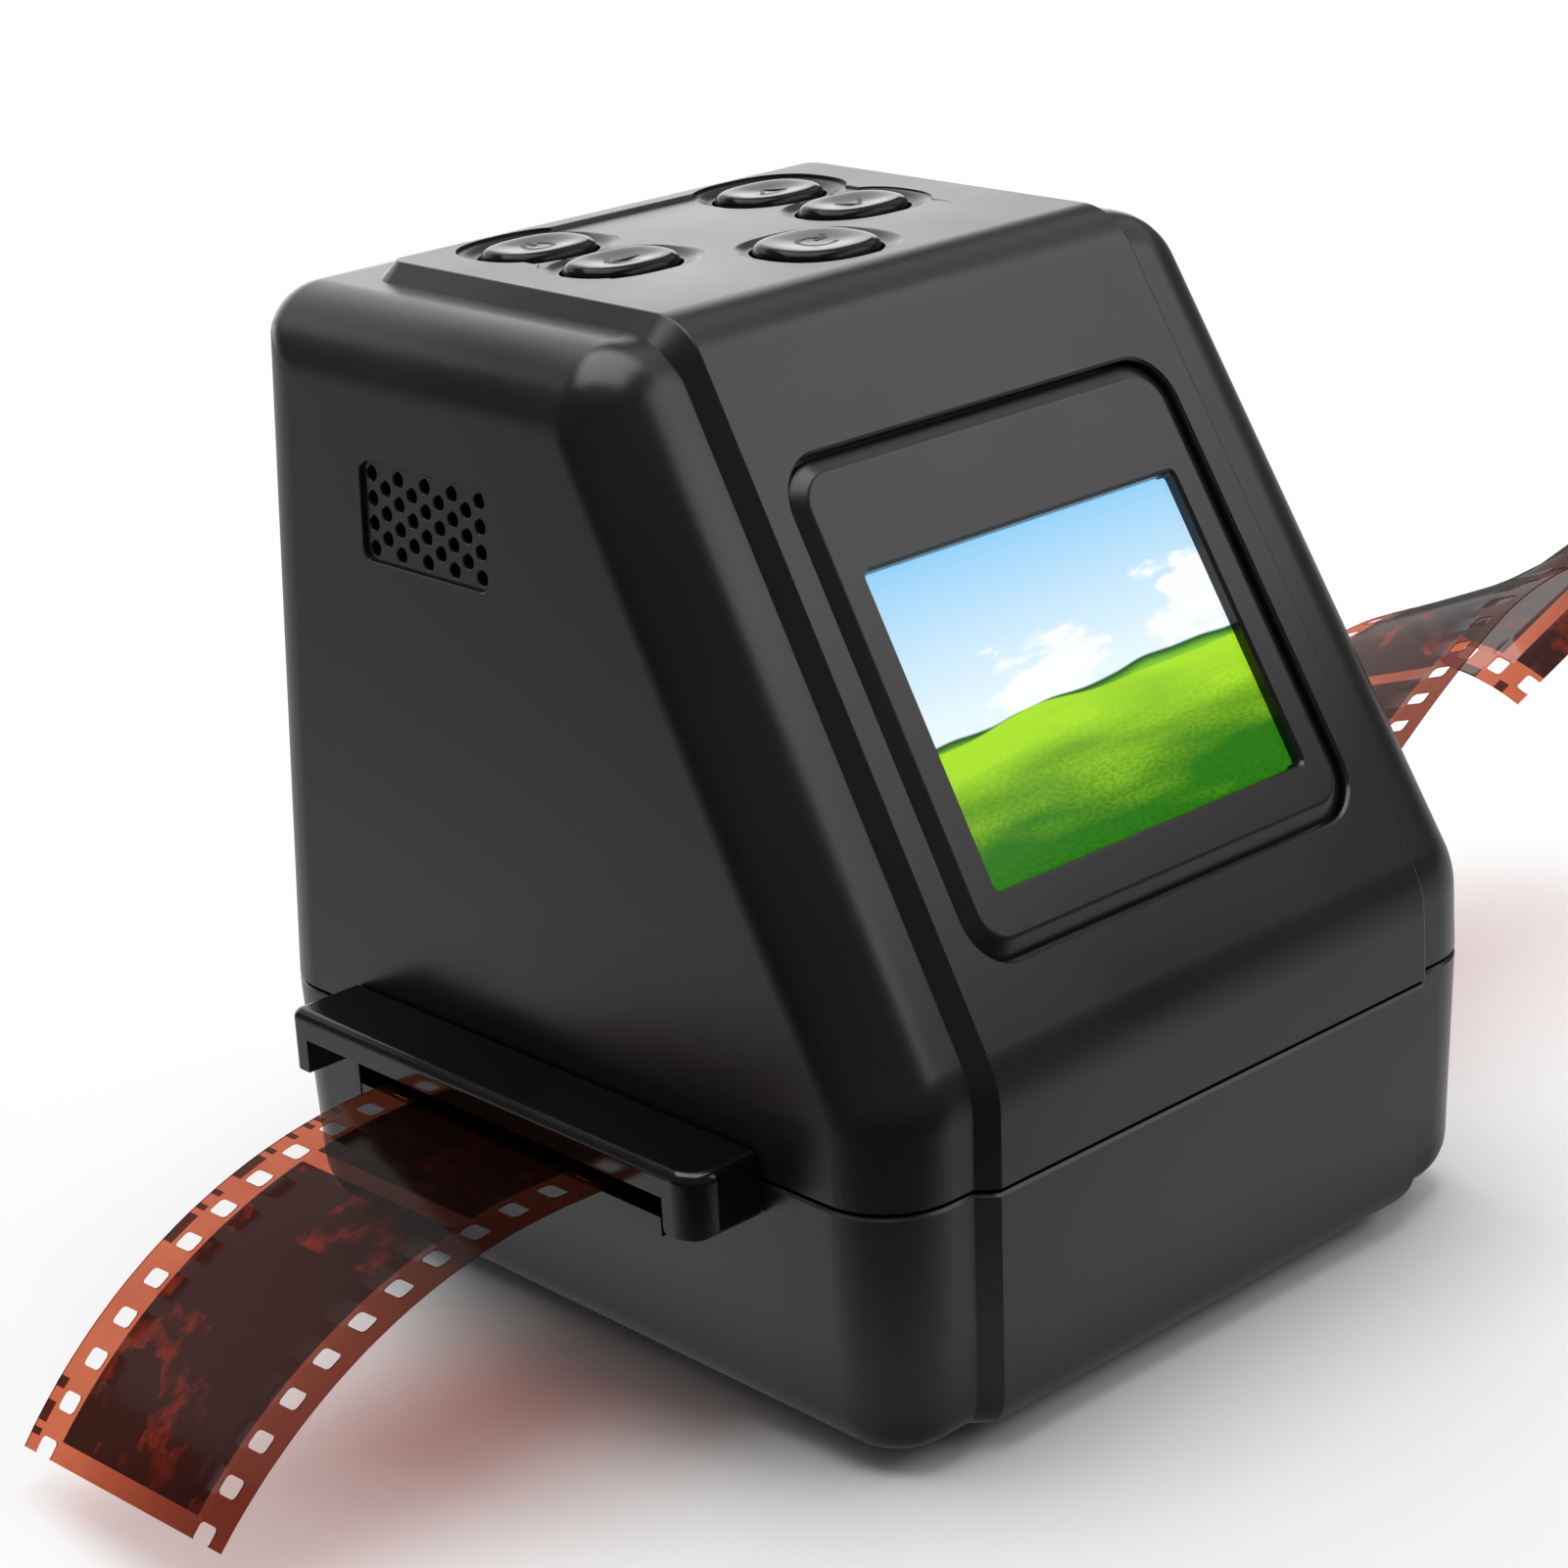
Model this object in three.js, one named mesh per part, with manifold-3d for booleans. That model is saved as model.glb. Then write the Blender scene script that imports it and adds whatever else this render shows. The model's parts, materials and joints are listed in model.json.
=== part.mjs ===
// A desktop scanner for 35 mm film negatives, in millimetres, +Z up.
// The case is a low base under a slant-fronted hood, with a raised band down the middle.
// Heights are counted from the underside of the base, and depths from the front of the band.
// The part's own origin is the centre of the base's underside, +X to the right and +Y to the back.
import * as THREE from "three";
import { mergeVertices } from "three/addons/utils/BufferGeometryUtils.js";
import Module from "manifold-3d";

const wasm = await Module();
wasm.setup();

// Driving dimensions of the case
const caseWidth = 89.2;
const caseDepth = 96.7;
const caseHeight = 103.9;
const seamHeight = 27.1;
const wall = 2;
const sideRound = 8.3;
const draftSlope = 0.038;
const fit = 0.3; // the gap between two pieces that seat on each other
const sliding = 0.35; // the gap round a piece that travels
const overrun = 1; // how far a cut runs past what it cuts

const band = { width: 63.5, rise: 1.8, rearSetback: 11.5, sink: 0.8, cornerRound: 2 };
const shoulderRound = sideRound + band.rise; // beside the band, so that brow and sides meet in a ball
const front = {
  kinkHeight: 37.7,
  topLength: 54.7,
  kinkRound: 12.2,
  browRound: 7.4,
  rearRound: 6.5,
  leastRound: 1.5, // the corners of the inner outlines stay at least this round
};
const base = { floor: 2.2, edgeRound: 5.8, draftSlope: 0.036 };
const undercut = 10; // how far the side outline runs below the seam before it is cut off

// The screen, in the plane of the slanted front: up is counted along the slant from its foot
const bezel = { width: 56, height: 50.7, up: 10.3, round: 5.1, thick: 2, bevel: 1.8, crown: 0.2, lip: 0.9 };
const screenWindow = { width: 45.7, height: 32.4, up: 16.6, round: 0.7 };
const lcd = { width: 51.5, height: 38.5, thick: 3, tray: 0.8, lift: 1.3 };
const lcdBoard = { width: 59, height: 46.5, thick: 1.6, bossRadius: 1.8, bossInset: 2 };

// The five buttons on top
const pocket = { width: 44.6, length: 29.3, rearMargin: 2.2, depth: 0.45, round: 5.2 };
const button = {
  width: 12.4,
  length: 9.2,
  seat: 0.6, // how far its rim stands below the pocket's floor
  crown: 1.1, // the height of its round shoulder
  dish: 0.35,
  flange: 0.8,
  flangeThick: 1.1,
  stemRadius: 1.5,
  travel: 0.8,
};
const bigButton = { width: 12.6, length: 11.8 };
const buttonSpread = 16.2; // from the middle of the top to a button's centre
const buttonRows = { rear: 5.3, middle: 18.2 }; // from the pocket's rear wall
const frontRowShare = 0.68925; // the big button's place between that wall and the brow
const dome = { radius: 3, height: 2.1, neck: 1.6, wall: 0.5 };
const buttonBoard = {
  width: 58,
  length: 37,
  rearMargin: 0.9,
  thick: 1.6,
  bossRadius: 2.1,
  bossSpacing: 19.5,
};

// The film and its track through the case
const film = {
  width: 35,
  thick: 0.24,
  height: 25.3,
  setback: 0.75, // behind the middle of the case's depth
  pitch: 4.75,
  holeLength: 1.98,
  holeWidth: 2.8,
  holeEdge: 2,
  cut: 0.8, // from the middle of the last holes to the cut ends
};
const gate = { width: 38, length: 25.2 };
const track = {
  length: 46,
  bedBottom: 22.95,
  bedTop: 24.95,
  plateBottom: 25.85,
  plateTop: 28.25,
  rightReach: 0.9,
  rail: 1.8,
};
const hood = {
  reach: 8.6,
  forward: 30.4, // from the middle of the film to the bracket's front end
  backward: 32,
  top: 30.1,
  underside: 27.1,
  frontRound: 3.3,
  rearRound: 1.2,
  edgeRound: 1.1,
  blockLength: 4.6,
  blockBottom: 23.4,
  legLength: 2.6,
  legBottom: 23,
  ribSetback: 10.6,
  ribLength: 0.8,
  tongue: 1.8,
};
// How each half of the strip lies, from the middle of the gate outwards: the length of each
// stretch, and the degrees by which it bends upwards and twists over that length
const leftHalf = { straight: 56.4, droop: 48.7, droopAngle: -47.7, droopTwistAngle: -6.1 };
const rightHalf = {
  straight: 55.2,
  lift: 16.1,
  liftAngle: 30.6,
  liftTwistAngle: -20.2,
  climb: 22.1,
  climbAngle: -6,
  climbTwistAngle: -3.9,
  crest: 16.4,
  crestAngle: -22.3,
  crestTwistAngle: -2.5,
  fall: 8.1,
  fallAngle: -25,
  fallTwistAngle: -26.3,
  end: 11.4,
  endAngle: -34.6,
  endTwistAngle: -3.3,
};

// The light under the film and the camera over it
const lightBox = { width: 44, length: 32, wall: 1.4, ledge: 1.3 };
const diffuserThick = 1.5;
const ledBoardThick = 1.6;
const led = { size: 3, height: 0.9, columns: 3, rows: 2, spacing: 10 };
const tower = {
  flangeWidth: 50,
  flangeLength: 38,
  flangeThick: 2,
  footWidth: 46,
  footLength: 34,
  topWidth: 30,
  topLength: 26,
  top: 58,
  wall: 1.6,
  postRadius: 1.8,
  postHeight: 6,
};
const lens = {
  radius: 7,
  flangeRadius: 9,
  flangeThick: 2,
  below: 12,
  above: 2.2,
  bore: 5.5,
  glassThick: 3,
  seat: 1,
};
const sensor = { board: 30, boardThick: 1.6, chip: 8, chipThick: 1.2 };

// The main board against the rear wall, with its two sockets
const mainBoard = {
  width: 63,
  aboveSeam: 4.4,
  topMargin: 14.5,
  rearMargin: 6.8,
  thick: 1.6,
  bossRadius: 2.5,
  bossInset: 3.5,
  socketRise: 8, // from the board's lower edge to the middle of its sockets
};
const usb = { x: -16, width: 9, height: 3.4, skin: 0.6, depth: 5, tongueWidth: 5.6, tongueThick: 0.7 };
const card = { x: 14, width: 27, height: 3.4, skin: 0.7, depth: 5 };

// The speaker and its grille in the left side
const grille = {
  behindFilm: 16.2,
  below: 21.7, // from the top of the case down to the grille's middle
  length: 19.5,
  height: 10.2,
  round: 1.2,
  sink: 0.5,
  holeRadius: 0.76,
  columnPitch: 4.2,
  rowPitch: 1.28,
  rows: 7,
  columns: 5,
};
const speaker = { radius: 9, thick: 4, coneRadius: 6, coneDepth: 1.5 };

// Screws, posts and feet
const post = {
  sideMargin: 10.1,
  frontMargin: 13.5,
  rearMargin: 13.5,
  radius: 3.4,
  upperLength: 12.4,
  web: 2,
};
const screw = { headRadius: 2.2, headThick: 1.4, shankRadius: 1, length: 34, recess: 0.9, driveRadius: 1 };
const pilot = { radius: 1.35, headRadius: 2.6, headDepth: 2.6 };
const foot = { sideMargin: 18.6, frontMargin: 12, rearMargin: 12, radius: 4, stand: 1, seatDepth: 0.6 };
const trackPost = { sideMargin: 8, endMargin: 4, radius: 2.5 };

const smallSides = 8;
const roundSides = 20;
const cornerSteps = 4;
const roundSteps = 5;

// What follows from the driving dimensions
const slantRise = caseHeight - front.kinkHeight;
const topDepth = caseDepth - draftSlope * (caseHeight - seamHeight);
const slantRun = topDepth - front.topLength;
const slantAngle = Math.atan2(slantRise, slantRun);
const sideX = (z) => caseWidth / 2 - draftSlope * Math.max(0, z - seamHeight);
const narrowing = (z) => sideX(z) / (caseWidth / 2);
const hoodOuter = -caseWidth / 2 - hood.reach;
const ceiling = caseHeight - band.rise - wall;
const bandRear = topDepth + band.rise - band.rearSetback;
const pocketRear = bandRear - pocket.rearMargin;
const pocketFront = pocketRear - pocket.length;
const frontRow = pocketRear - frontRowShare * (pocketRear - slantRun);
const filmMiddle = caseDepth / 2 + film.setback;
const trackFront = filmMiddle - track.length / 2;
const trackRear = filmMiddle + track.length / 2;
const hoodFront = filmMiddle - hood.forward;
const hoodRear = filmMiddle + hood.backward;
const grilleMiddle = filmMiddle + grille.behindFilm;
const grilleHeight = caseHeight - grille.below;

// Solids: every shape is made closed, then joined or cut as one of these

function solid(geometry) {
  const bare = geometry.clone();
  bare.deleteAttribute("normal");
  bare.deleteAttribute("uv");
  const merged = mergeVertices(bare);
  const triVerts = new Uint32Array(merged.index.array);
  const mesh = new wasm.Mesh({
    numProp: 3,
    vertProperties: new Float32Array(merged.attributes.position.array),
    triVerts,
  });
  return new wasm.Manifold(mesh);
}

function geometryOf(shape) {
  const mesh = shape.getMesh();
  const geometry = new THREE.BufferGeometry();
  geometry.setAttribute("position", new THREE.BufferAttribute(mesh.vertProperties, 3));
  geometry.setIndex(new THREE.BufferAttribute(mesh.triVerts, 1));
  geometry.computeVertexNormals();
  return geometry;
}

const join = (shapes) => shapes.reduce((all, shape) => all.add(shape));
const cut = (shape, tools) => tools.reduce((rest, tool) => rest.subtract(tool), shape);

// A box between two corners
function block([x0, y0, z0], [x1, y1, z1]) {
  const box = new THREE.BoxGeometry(x1 - x0, y1 - y0, z1 - z0);
  box.translate((x0 + x1) / 2, (y0 + y1) / 2, (z0 + z1) / 2);
  return solid(box);
}

// An upright round bar at (x, y) between two heights
function bar(x, y, z0, z1, radius, sides = roundSides) {
  const cylinder = new THREE.CylinderGeometry(radius, radius, z1 - z0, sides);
  cylinder.rotateX(Math.PI / 2);
  cylinder.translate(x, y, (z0 + z1) / 2);
  return solid(cylinder);
}

// A body of revolution about the upright axis at (x, y), from [radius, height] points
function turned(x, y, points, sides = roundSides) {
  const outline = points.map(([r, z]) => new THREE.Vector2(r, z));
  const lathe = new THREE.LatheGeometry(outline, sides);
  lathe.rotateX(Math.PI / 2);
  lathe.translate(x, y, 0);
  return solid(lathe);
}

// A closed skin over rings of points that all have the same number of places
function loft(rings) {
  const count = rings[0].length;
  const positions = rings.flat().flatMap((p) => [p.x, p.y, p.z]);
  const faces = [];
  for (let r = 0; r + 1 < rings.length; r++) {
    for (let i = 0; i < count; i++) {
      const here = r * count + i;
      const next = r * count + ((i + 1) % count);
      faces.push(here, next, next + count, here, next + count, here + count);
    }
  }
  const last = (rings.length - 1) * count;
  for (const [a, b, c] of capOf(rings[0])) faces.push(c, b, a);
  for (const [a, b, c] of capOf(rings[0])) faces.push(last + a, last + b, last + c);
  if (skinVolume(positions, faces) < 0) faces.reverse();
  const geometry = new THREE.BufferGeometry();
  geometry.setAttribute("position", new THREE.Float32BufferAttribute(positions, 3));
  geometry.setIndex(faces);
  return solid(geometry);
}

// The triangles that close a ring, found on the plane in which the ring is widest
function capOf(ring) {
  const size = new THREE.Box3().setFromPoints(ring).getSize(new THREE.Vector3());
  const flat = (p) => {
    if (size.x <= size.y && size.x <= size.z) return new THREE.Vector2(p.y, p.z);
    if (size.z <= size.x && size.z <= size.y) return new THREE.Vector2(p.x, p.y);
    return new THREE.Vector2(p.z, p.x);
  };
  const outline = ring.map(flat);
  const forward = THREE.ShapeUtils.area(outline) > 0;
  const corners = outline.map((_, i) => i);
  if (!forward) corners.reverse();
  const triangles = [];
  while (corners.length > 2) {
    const found = corners.findIndex((_, i) => isEar(outline, corners, i));
    const ear = Math.max(found, 0);
    triangles.push(cornerAt(corners, ear));
    corners.splice(ear, 1);
  }
  return forward ? triangles : triangles.map(([a, b, c]) => [c, b, a]);
}

const cornerAt = (corners, i) => [corners.at(i - 1), corners[i], corners[(i + 1) % corners.length]];

// A corner can be cut off when it points outwards and holds no other corner. Corners that lie on a
// straight edge stay until a neighbour has gone, so that none is passed over
function isEar(outline, corners, i) {
  const [a, b, c] = cornerAt(corners, i).map((index) => outline[index]);
  const side = (p, q, r) => THREE.ShapeUtils.area([p, q, r]);
  if (side(a, b, c) <= Number.EPSILON) return false;
  const holds = (p) => side(a, b, p) >= 0 && side(b, c, p) >= 0 && side(c, a, p) >= 0;
  return !corners.some((index) => ![a, b, c].includes(outline[index]) && holds(outline[index]));
}

function skinVolume(positions, faces) {
  const at = (i) => new THREE.Vector3().fromArray(positions, 3 * i);
  let sum = 0;
  for (let i = 0; i < faces.length; i += 3) {
    sum += at(faces[i]).dot(at(faces[i + 1]).cross(at(faces[i + 2])));
  }
  return sum;
}

// A rounded rectangle about (cx, cy)
function roundedRectangle(cx, cy, width, length, radius, steps = cornerSteps) {
  const points = [];
  const corners = [[1, 1], [-1, 1], [-1, -1], [1, -1]];
  corners.forEach(([sx, sy], quarter) => {
    for (let i = 0; i <= steps; i++) {
      const angle = (Math.PI / 2) * (quarter + i / steps);
      points.push([
        cx + sx * (width / 2 - radius) + radius * Math.cos(angle),
        cy + sy * (length / 2 - radius) + radius * Math.sin(angle),
      ]);
    }
  });
  return points;
}

const ringAt = (outline, z) => outline.map(([x, y]) => new THREE.Vector3(x, y, z));
const prism = (outline, z0, z1) => loft([ringAt(outline, z0), ringAt(outline, z1)]);

// Places a solid that is modelled flat, x across and y up the slant, on the slanted front
function onSlant(shape) {
  const geometry = geometryOf(shape);
  geometry.rotateX(slantAngle);
  geometry.translate(0, 0, front.kinkHeight);
  return solid(geometry);
}

// Narrows a solid towards the top, as the sides of the case do
function drafted(shape) {
  return shape.warp((vertex) => {
    vertex[0] *= narrowing(vertex[2]);
  });
}

// The case

// Adds a rounded corner to a side outline, between edges whose outward normals stand at two angles.
// The further the edges are moved in, the tighter the corner gets, down to the least radius
function addCorner(points, [y, z], fromAngle, toAngle, radius, inset) {
  const half = (fromAngle - toAngle) / 2;
  const middle = (fromAngle + toAngle) / 2;
  const left = Math.max(radius - inset, front.leastRound);
  const back = (inset + left) / Math.cos(half);
  const centre = [y - back * Math.cos(middle), z - back * Math.sin(middle)];
  for (let i = 0; i <= cornerSteps; i++) {
    const angle = fromAngle - (2 * half * i) / cornerSteps;
    points.push([centre[0] + left * Math.cos(angle), centre[1] + left * Math.sin(angle)]);
  }
}

// The side view of the case as [depth, height] points, all edges moved in by the inset
function sideOutline(inset, browRound) {
  const frontNormal = Math.PI;
  const slantNormal = Math.PI / 2 + slantAngle;
  const topNormal = Math.PI / 2;
  const rearNormal = Math.atan(draftSlope);
  const rearOut = band.rise - inset;
  const points = [[inset, -undercut], [inset, seamHeight]];
  addCorner(points, [0, front.kinkHeight], frontNormal, slantNormal, front.kinkRound, inset);
  addCorner(points, [slantRun, caseHeight], slantNormal, topNormal, browRound, inset);
  addCorner(points, [topDepth + band.rise, caseHeight], topNormal, rearNormal, front.rearRound, inset);
  points.push([caseDepth + rearOut, seamHeight], [caseDepth + rearOut, -undercut]);
  return points;
}

const sideRing = (x, points) => points.map(([y, z]) => new THREE.Vector3(x * narrowing(z), y, z));

// The whole case without its band, as a block with soft edges along both sides
function bodyBlock(width, round, inset) {
  const rings = [];
  for (const side of [-1, 1]) {
    for (let i = 0; i <= roundSteps; i++) {
      const share = side < 0 ? 1 - i / roundSteps : i / roundSteps;
      const angle = (Math.PI / 2) * share;
      const x = side * (width / 2 - round + round * Math.sin(angle));
      const outline = sideOutline(inset + round * (1 - Math.cos(angle)), shoulderRound);
      rings.push(sideRing(x, outline));
    }
  }
  return loft(rings);
}

// The raised band, with bevels down both sides and at its rear end
function bandBlock() {
  const foot = band.rise + band.sink;
  const ring = (x, inset) => {
    const outline = sideOutline(inset, front.browRound);
    const kept = outline.slice(0, 2 + 2 * (cornerSteps + 1));
    kept.push([bandRear + inset, caseHeight - inset]);
    kept.push([bandRear + foot, caseHeight - foot]);
    kept.push([bandRear + foot, caseHeight - foot - wall]);
    kept.push([slantRun + wall, caseHeight - foot - wall]);
    kept.push([foot + wall, front.kinkHeight]);
    kept.push([foot + wall, -undercut]);
    return sideRing(x, kept);
  };
  const flat = band.width / 2;
  const outer = flat + foot;
  const sharp = loft([ring(-outer, foot), ring(-flat, 0), ring(flat, 0), ring(outer, foot)]);
  return cut(sharp, [bandCorner(-1), bandCorner(1)]);
}

// What the round of a rear corner of the band takes off: side is -1 at the left and 1 at the right
function bandCorner(side) {
  const ring = (inset) => {
    const round = band.cornerRound + inset;
    const cx = band.width / 2 - band.cornerRound;
    const cy = bandRear - band.cornerRound;
    const points = [[cx, cy + round + overrun], [cx + round + overrun, cy + round + overrun]];
    points.push([cx + round + overrun, cy]);
    for (let i = 0; i <= roundSteps; i++) {
      const angle = (Math.PI / 2) * (i / roundSteps);
      points.push([cx + round * Math.cos(angle), cy + round * Math.sin(angle)]);
    }
    const turned = side > 0 ? points : points.map(([x, y]) => [-x, y]).reverse();
    return ringAt(turned, caseHeight - inset);
  };
  return drafted(loft([ring(band.rise + band.sink + overrun), ring(-overrun)]));
}

// The case seen from above, with the band's bevels, moved in by the inset
function planOutline(inset) {
  const points = [];
  const half = caseWidth / 2 - sideRound;
  const arc = (cx, cy, from) => {
    for (let i = 0; i <= roundSteps; i++) {
      const angle = from + (Math.PI / 2) * (i / roundSteps);
      const radius = sideRound - inset;
      points.push([cx + radius * Math.cos(angle), cy + radius * Math.sin(angle)]);
    }
  };
  const mitre = (Math.SQRT2 - 1) * inset;
  const flat = band.width / 2;
  arc(-half, band.rise + sideRound, Math.PI);
  points.push([-flat - band.rise + mitre, band.rise + inset], [-flat + mitre, inset]);
  points.push([flat - mitre, inset], [flat + band.rise - mitre, band.rise + inset]);
  arc(half, band.rise + sideRound, -Math.PI / 2);
  arc(half, caseDepth - sideRound, 0);
  arc(-half, caseDepth - sideRound, Math.PI / 2);
  return points;
}

// The four places near the corners at which posts or feet stand
function cornerPlaces({ sideMargin, frontMargin, rearMargin }) {
  const x = caseWidth / 2 - sideMargin;
  return [-x, x].flatMap((side) => [frontMargin, caseDepth - rearMargin].map((y) => [side, y]));
}

const postPlaces = cornerPlaces(post);
const footPlaces = cornerPlaces(foot);

// The opening through both side walls that the film track passes
function trackOpening() {
  const reach = caseWidth / 2 + overrun;
  return block(
    [-reach, trackFront - fit, track.bedBottom - fit],
    [reach, trackRear + fit, track.plateTop + fit],
  );
}

// A recess and 32 staggered holes for the speaker's sound
function grilleCuts() {
  const outerX = -sideX(grilleHeight);
  const across = (shape) => {
    const geometry = geometryOf(shape);
    geometry.rotateY(-Math.PI / 2);
    geometry.rotateX(Math.PI / 2);
    geometry.translate(outerX, grilleMiddle, grilleHeight);
    return solid(geometry);
  };
  const plate = roundedRectangle(0, 0, grille.length, grille.height, grille.round);
  const cuts = [across(prism(plate, -grille.sink, overrun))];
  for (let row = 0; row < grille.rows; row++) {
    const columns = grille.columns - (row % 2);
    for (let column = 0; column < columns; column++) {
      const x = (column - (columns - 1) / 2) * grille.columnPitch;
      const y = (row - (grille.rows - 1) / 2) * grille.rowPitch;
      cuts.push(across(bar(x, y, -wall - overrun, overrun, grille.holeRadius, smallSides)));
    }
  }
  return cuts;
}

const pocketFloor = (y) => caseHeight - (pocket.depth / pocket.length) * (y - pocketFront);

// The shallow pocket round the buttons: its floor sinks towards the rear
function pocketCut() {
  const length = pocket.length + overrun;
  const outline = roundedRectangle(0, pocketRear - length / 2, pocket.width, length, pocket.round);
  const floor = outline.map(([x, y]) => new THREE.Vector3(x, y, pocketFloor(y)));
  return loft([floor, ringAt(outline, caseHeight + overrun)]);
}

const buttonPlaces = [
  { name: "power", x: -buttonSpread, y: pocketRear - buttonRows.rear, size: button },
  { name: "mirror", x: -buttonSpread, y: pocketRear - buttonRows.middle, size: button },
  { name: "up", x: buttonSpread, y: pocketRear - buttonRows.rear, size: button },
  { name: "down", x: buttonSpread, y: pocketRear - buttonRows.middle, size: button },
  { name: "capture", x: 0, y: frontRow, size: bigButton },
];

// The outline of a button, wider by a margin: a rounded rectangle with generous corners
function buttonOutline({ x, y, size }, margin) {
  const radius = size.length * buttonRoundShare + margin;
  return roundedRectangle(x, y, size.width + 2 * margin, size.length + 2 * margin, radius);
}

function buttonHoles() {
  return buttonPlaces.map((place) =>
    prism(buttonOutline(place, sliding), ceiling - overrun, caseHeight + overrun),
  );
}

function bezelOutline(margin) {
  const width = bezel.width + 2 * margin;
  const height = bezel.height + 2 * margin;
  return roundedRectangle(0, bezel.up + bezel.height / 2, width, height, bezel.round + margin);
}

const screenMiddle = screenWindow.up + screenWindow.height / 2;
const lcdOutline = (margin) =>
  roundedRectangle(0, screenMiddle, lcd.width + 2 * margin, lcd.height + 2 * margin, screenWindow.round);

// The window in the bezel, wider by a margin
const windowOutline = (margin) =>
  roundedRectangle(
    0,
    screenMiddle,
    screenWindow.width + 2 * margin,
    screenWindow.height + 2 * margin,
    screenWindow.round + margin,
  );

// The seat of the bezel in the slanted front, and the hole behind it for the screen
function screenCuts() {
  const seat = prism(bezelOutline(sliding), -bezel.thick - fit, overrun);
  const hole = prism(lcdOutline(fit), -bezel.thick - lcd.thick - overrun, 0);
  return [onSlant(seat), onSlant(hole)].map(drafted);
}

const boardCorners = [-1, 1].flatMap((sx) => [-1, 1].map((sy) => [
  sx * (lcdBoard.width / 2 - lcdBoard.bossInset),
  screenMiddle + sy * (lcdBoard.height / 2 - lcdBoard.bossInset),
]));
const lcdBack = -bezel.thick - fit - lcd.thick;
const lcdBoardFront = lcdBack - fit;

function screenBosses() {
  return boardCorners.map(([x, y]) =>
    onSlant(bar(x, y, lcdBoardFront + fit, -bezel.thick - overrun, lcdBoard.bossRadius, smallSides)),
  );
}

const buttonBoardRear = pocketRear + buttonBoard.rearMargin;
const buttonBoardTop = ceiling - button.flangeThick - sliding - dome.height - button.travel - fit;

function buttonBosses() {
  const x = buttonBoard.width / 2 - buttonBoard.bossRadius;
  const middle = buttonBoardRear - buttonBoard.length / 2 - buttonBoard.bossSpacing / 4;
  const rows = [middle - buttonBoard.bossSpacing / 2, middle + buttonBoard.bossSpacing / 2];
  return [-x, x].flatMap((bx) => rows.map((y) =>
    bar(bx, y, buttonBoardTop + fit, ceiling + overrun, buttonBoard.bossRadius, smallSides),
  ));
}

const boardFront = caseDepth - mainBoard.rearMargin - mainBoard.thick;
const boardTop = caseHeight - mainBoard.topMargin;
const boardBottom = seamHeight + mainBoard.aboveSeam;
const socketHeight = boardBottom + mainBoard.socketRise;

// Bars from the rear wall that carry the main board
function boardBosses() {
  const x = mainBoard.width / 2 - mainBoard.bossInset;
  const start = boardFront + mainBoard.thick + fit;
  const length = caseDepth - wall / 2 - start;
  return [-x, x].flatMap((bx) =>
    [boardBottom + mainBoard.bossInset, boardTop - mainBoard.bossInset].map((z) => {
      const lean = draftSlope * (z - seamHeight);
      const radius = mainBoard.bossRadius;
      const cylinder = new THREE.CylinderGeometry(radius, radius, length - lean, smallSides);
      cylinder.translate(bx, start + (length - lean) / 2, z);
      return solid(cylinder);
    }),
  );
}

function socketHole({ x, width, height }) {
  const half = width / 2 + sliding;
  const tall = height / 2 + sliding;
  return block(
    [x - half, caseDepth - wall - band.rise - overrun, socketHeight - tall],
    [x + half, caseDepth + overrun, socketHeight + tall],
  );
}

function makeUpperShell() {
  const outside = bodyBlock(caseWidth, sideRound, band.rise).add(bandBlock());
  const inside = bodyBlock(caseWidth - 2 * wall, sideRound - wall, band.rise + wall);
  const reach = caseWidth + caseDepth;
  const below = block([-reach, -reach, -reach], [reach, reach, seamHeight + fit / 2]);
  const bossTop = seamHeight + post.upperLength;
  const bosses = postPlaces.map(([x, y]) => bar(x, y, seamHeight, bossTop, post.radius, smallSides));
  const pilots = postPlaces.map(([x, y]) =>
    bar(x, y, seamHeight - overrun, bossTop - overrun, pilot.radius, smallSides),
  );
  const webs = postPlaces.map(([x, y]) => {
    const wallX = Math.sign(x) * (caseWidth - wall) / 2;
    return block(
      [Math.min(x, wallX), y - post.web / 2, seamHeight],
      [Math.max(x, wallX), y + post.web / 2, bossTop],
    );
  });
  const hollow = outside.subtract(inside);
  const inner = join([...bosses, ...webs, ...boardBosses()]).intersect(outside);
  const built = join([hollow, inner, ...screenBosses(), ...buttonBosses()]);
  return cut(built, [
    below,
    ...pilots,
    ...screenCuts(),
    pocketCut(),
    ...buttonHoles(),
    ...grilleCuts(),
    trackOpening(),
    socketHole(usb),
    socketHole(card),
  ]);
}

// The tub shape of the base, moved in by the margin: its walls lean in towards a rounded lower edge
function tubBlock(margin, bottom, top) {
  const lean = (z) => base.draftSlope * (seamHeight - z);
  const round = base.edgeRound - margin;
  const rings = [];
  for (let i = 0; i <= roundSteps; i++) {
    const angle = (Math.PI / 2) * (i / roundSteps);
    const z = bottom + round * (1 - Math.cos(angle));
    rings.push(ringAt(planOutline(margin + lean(z) + round * (1 - Math.sin(angle))), z));
  }
  rings.push(ringAt(planOutline(margin + lean(top)), top));
  return loft(rings);
}

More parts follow.
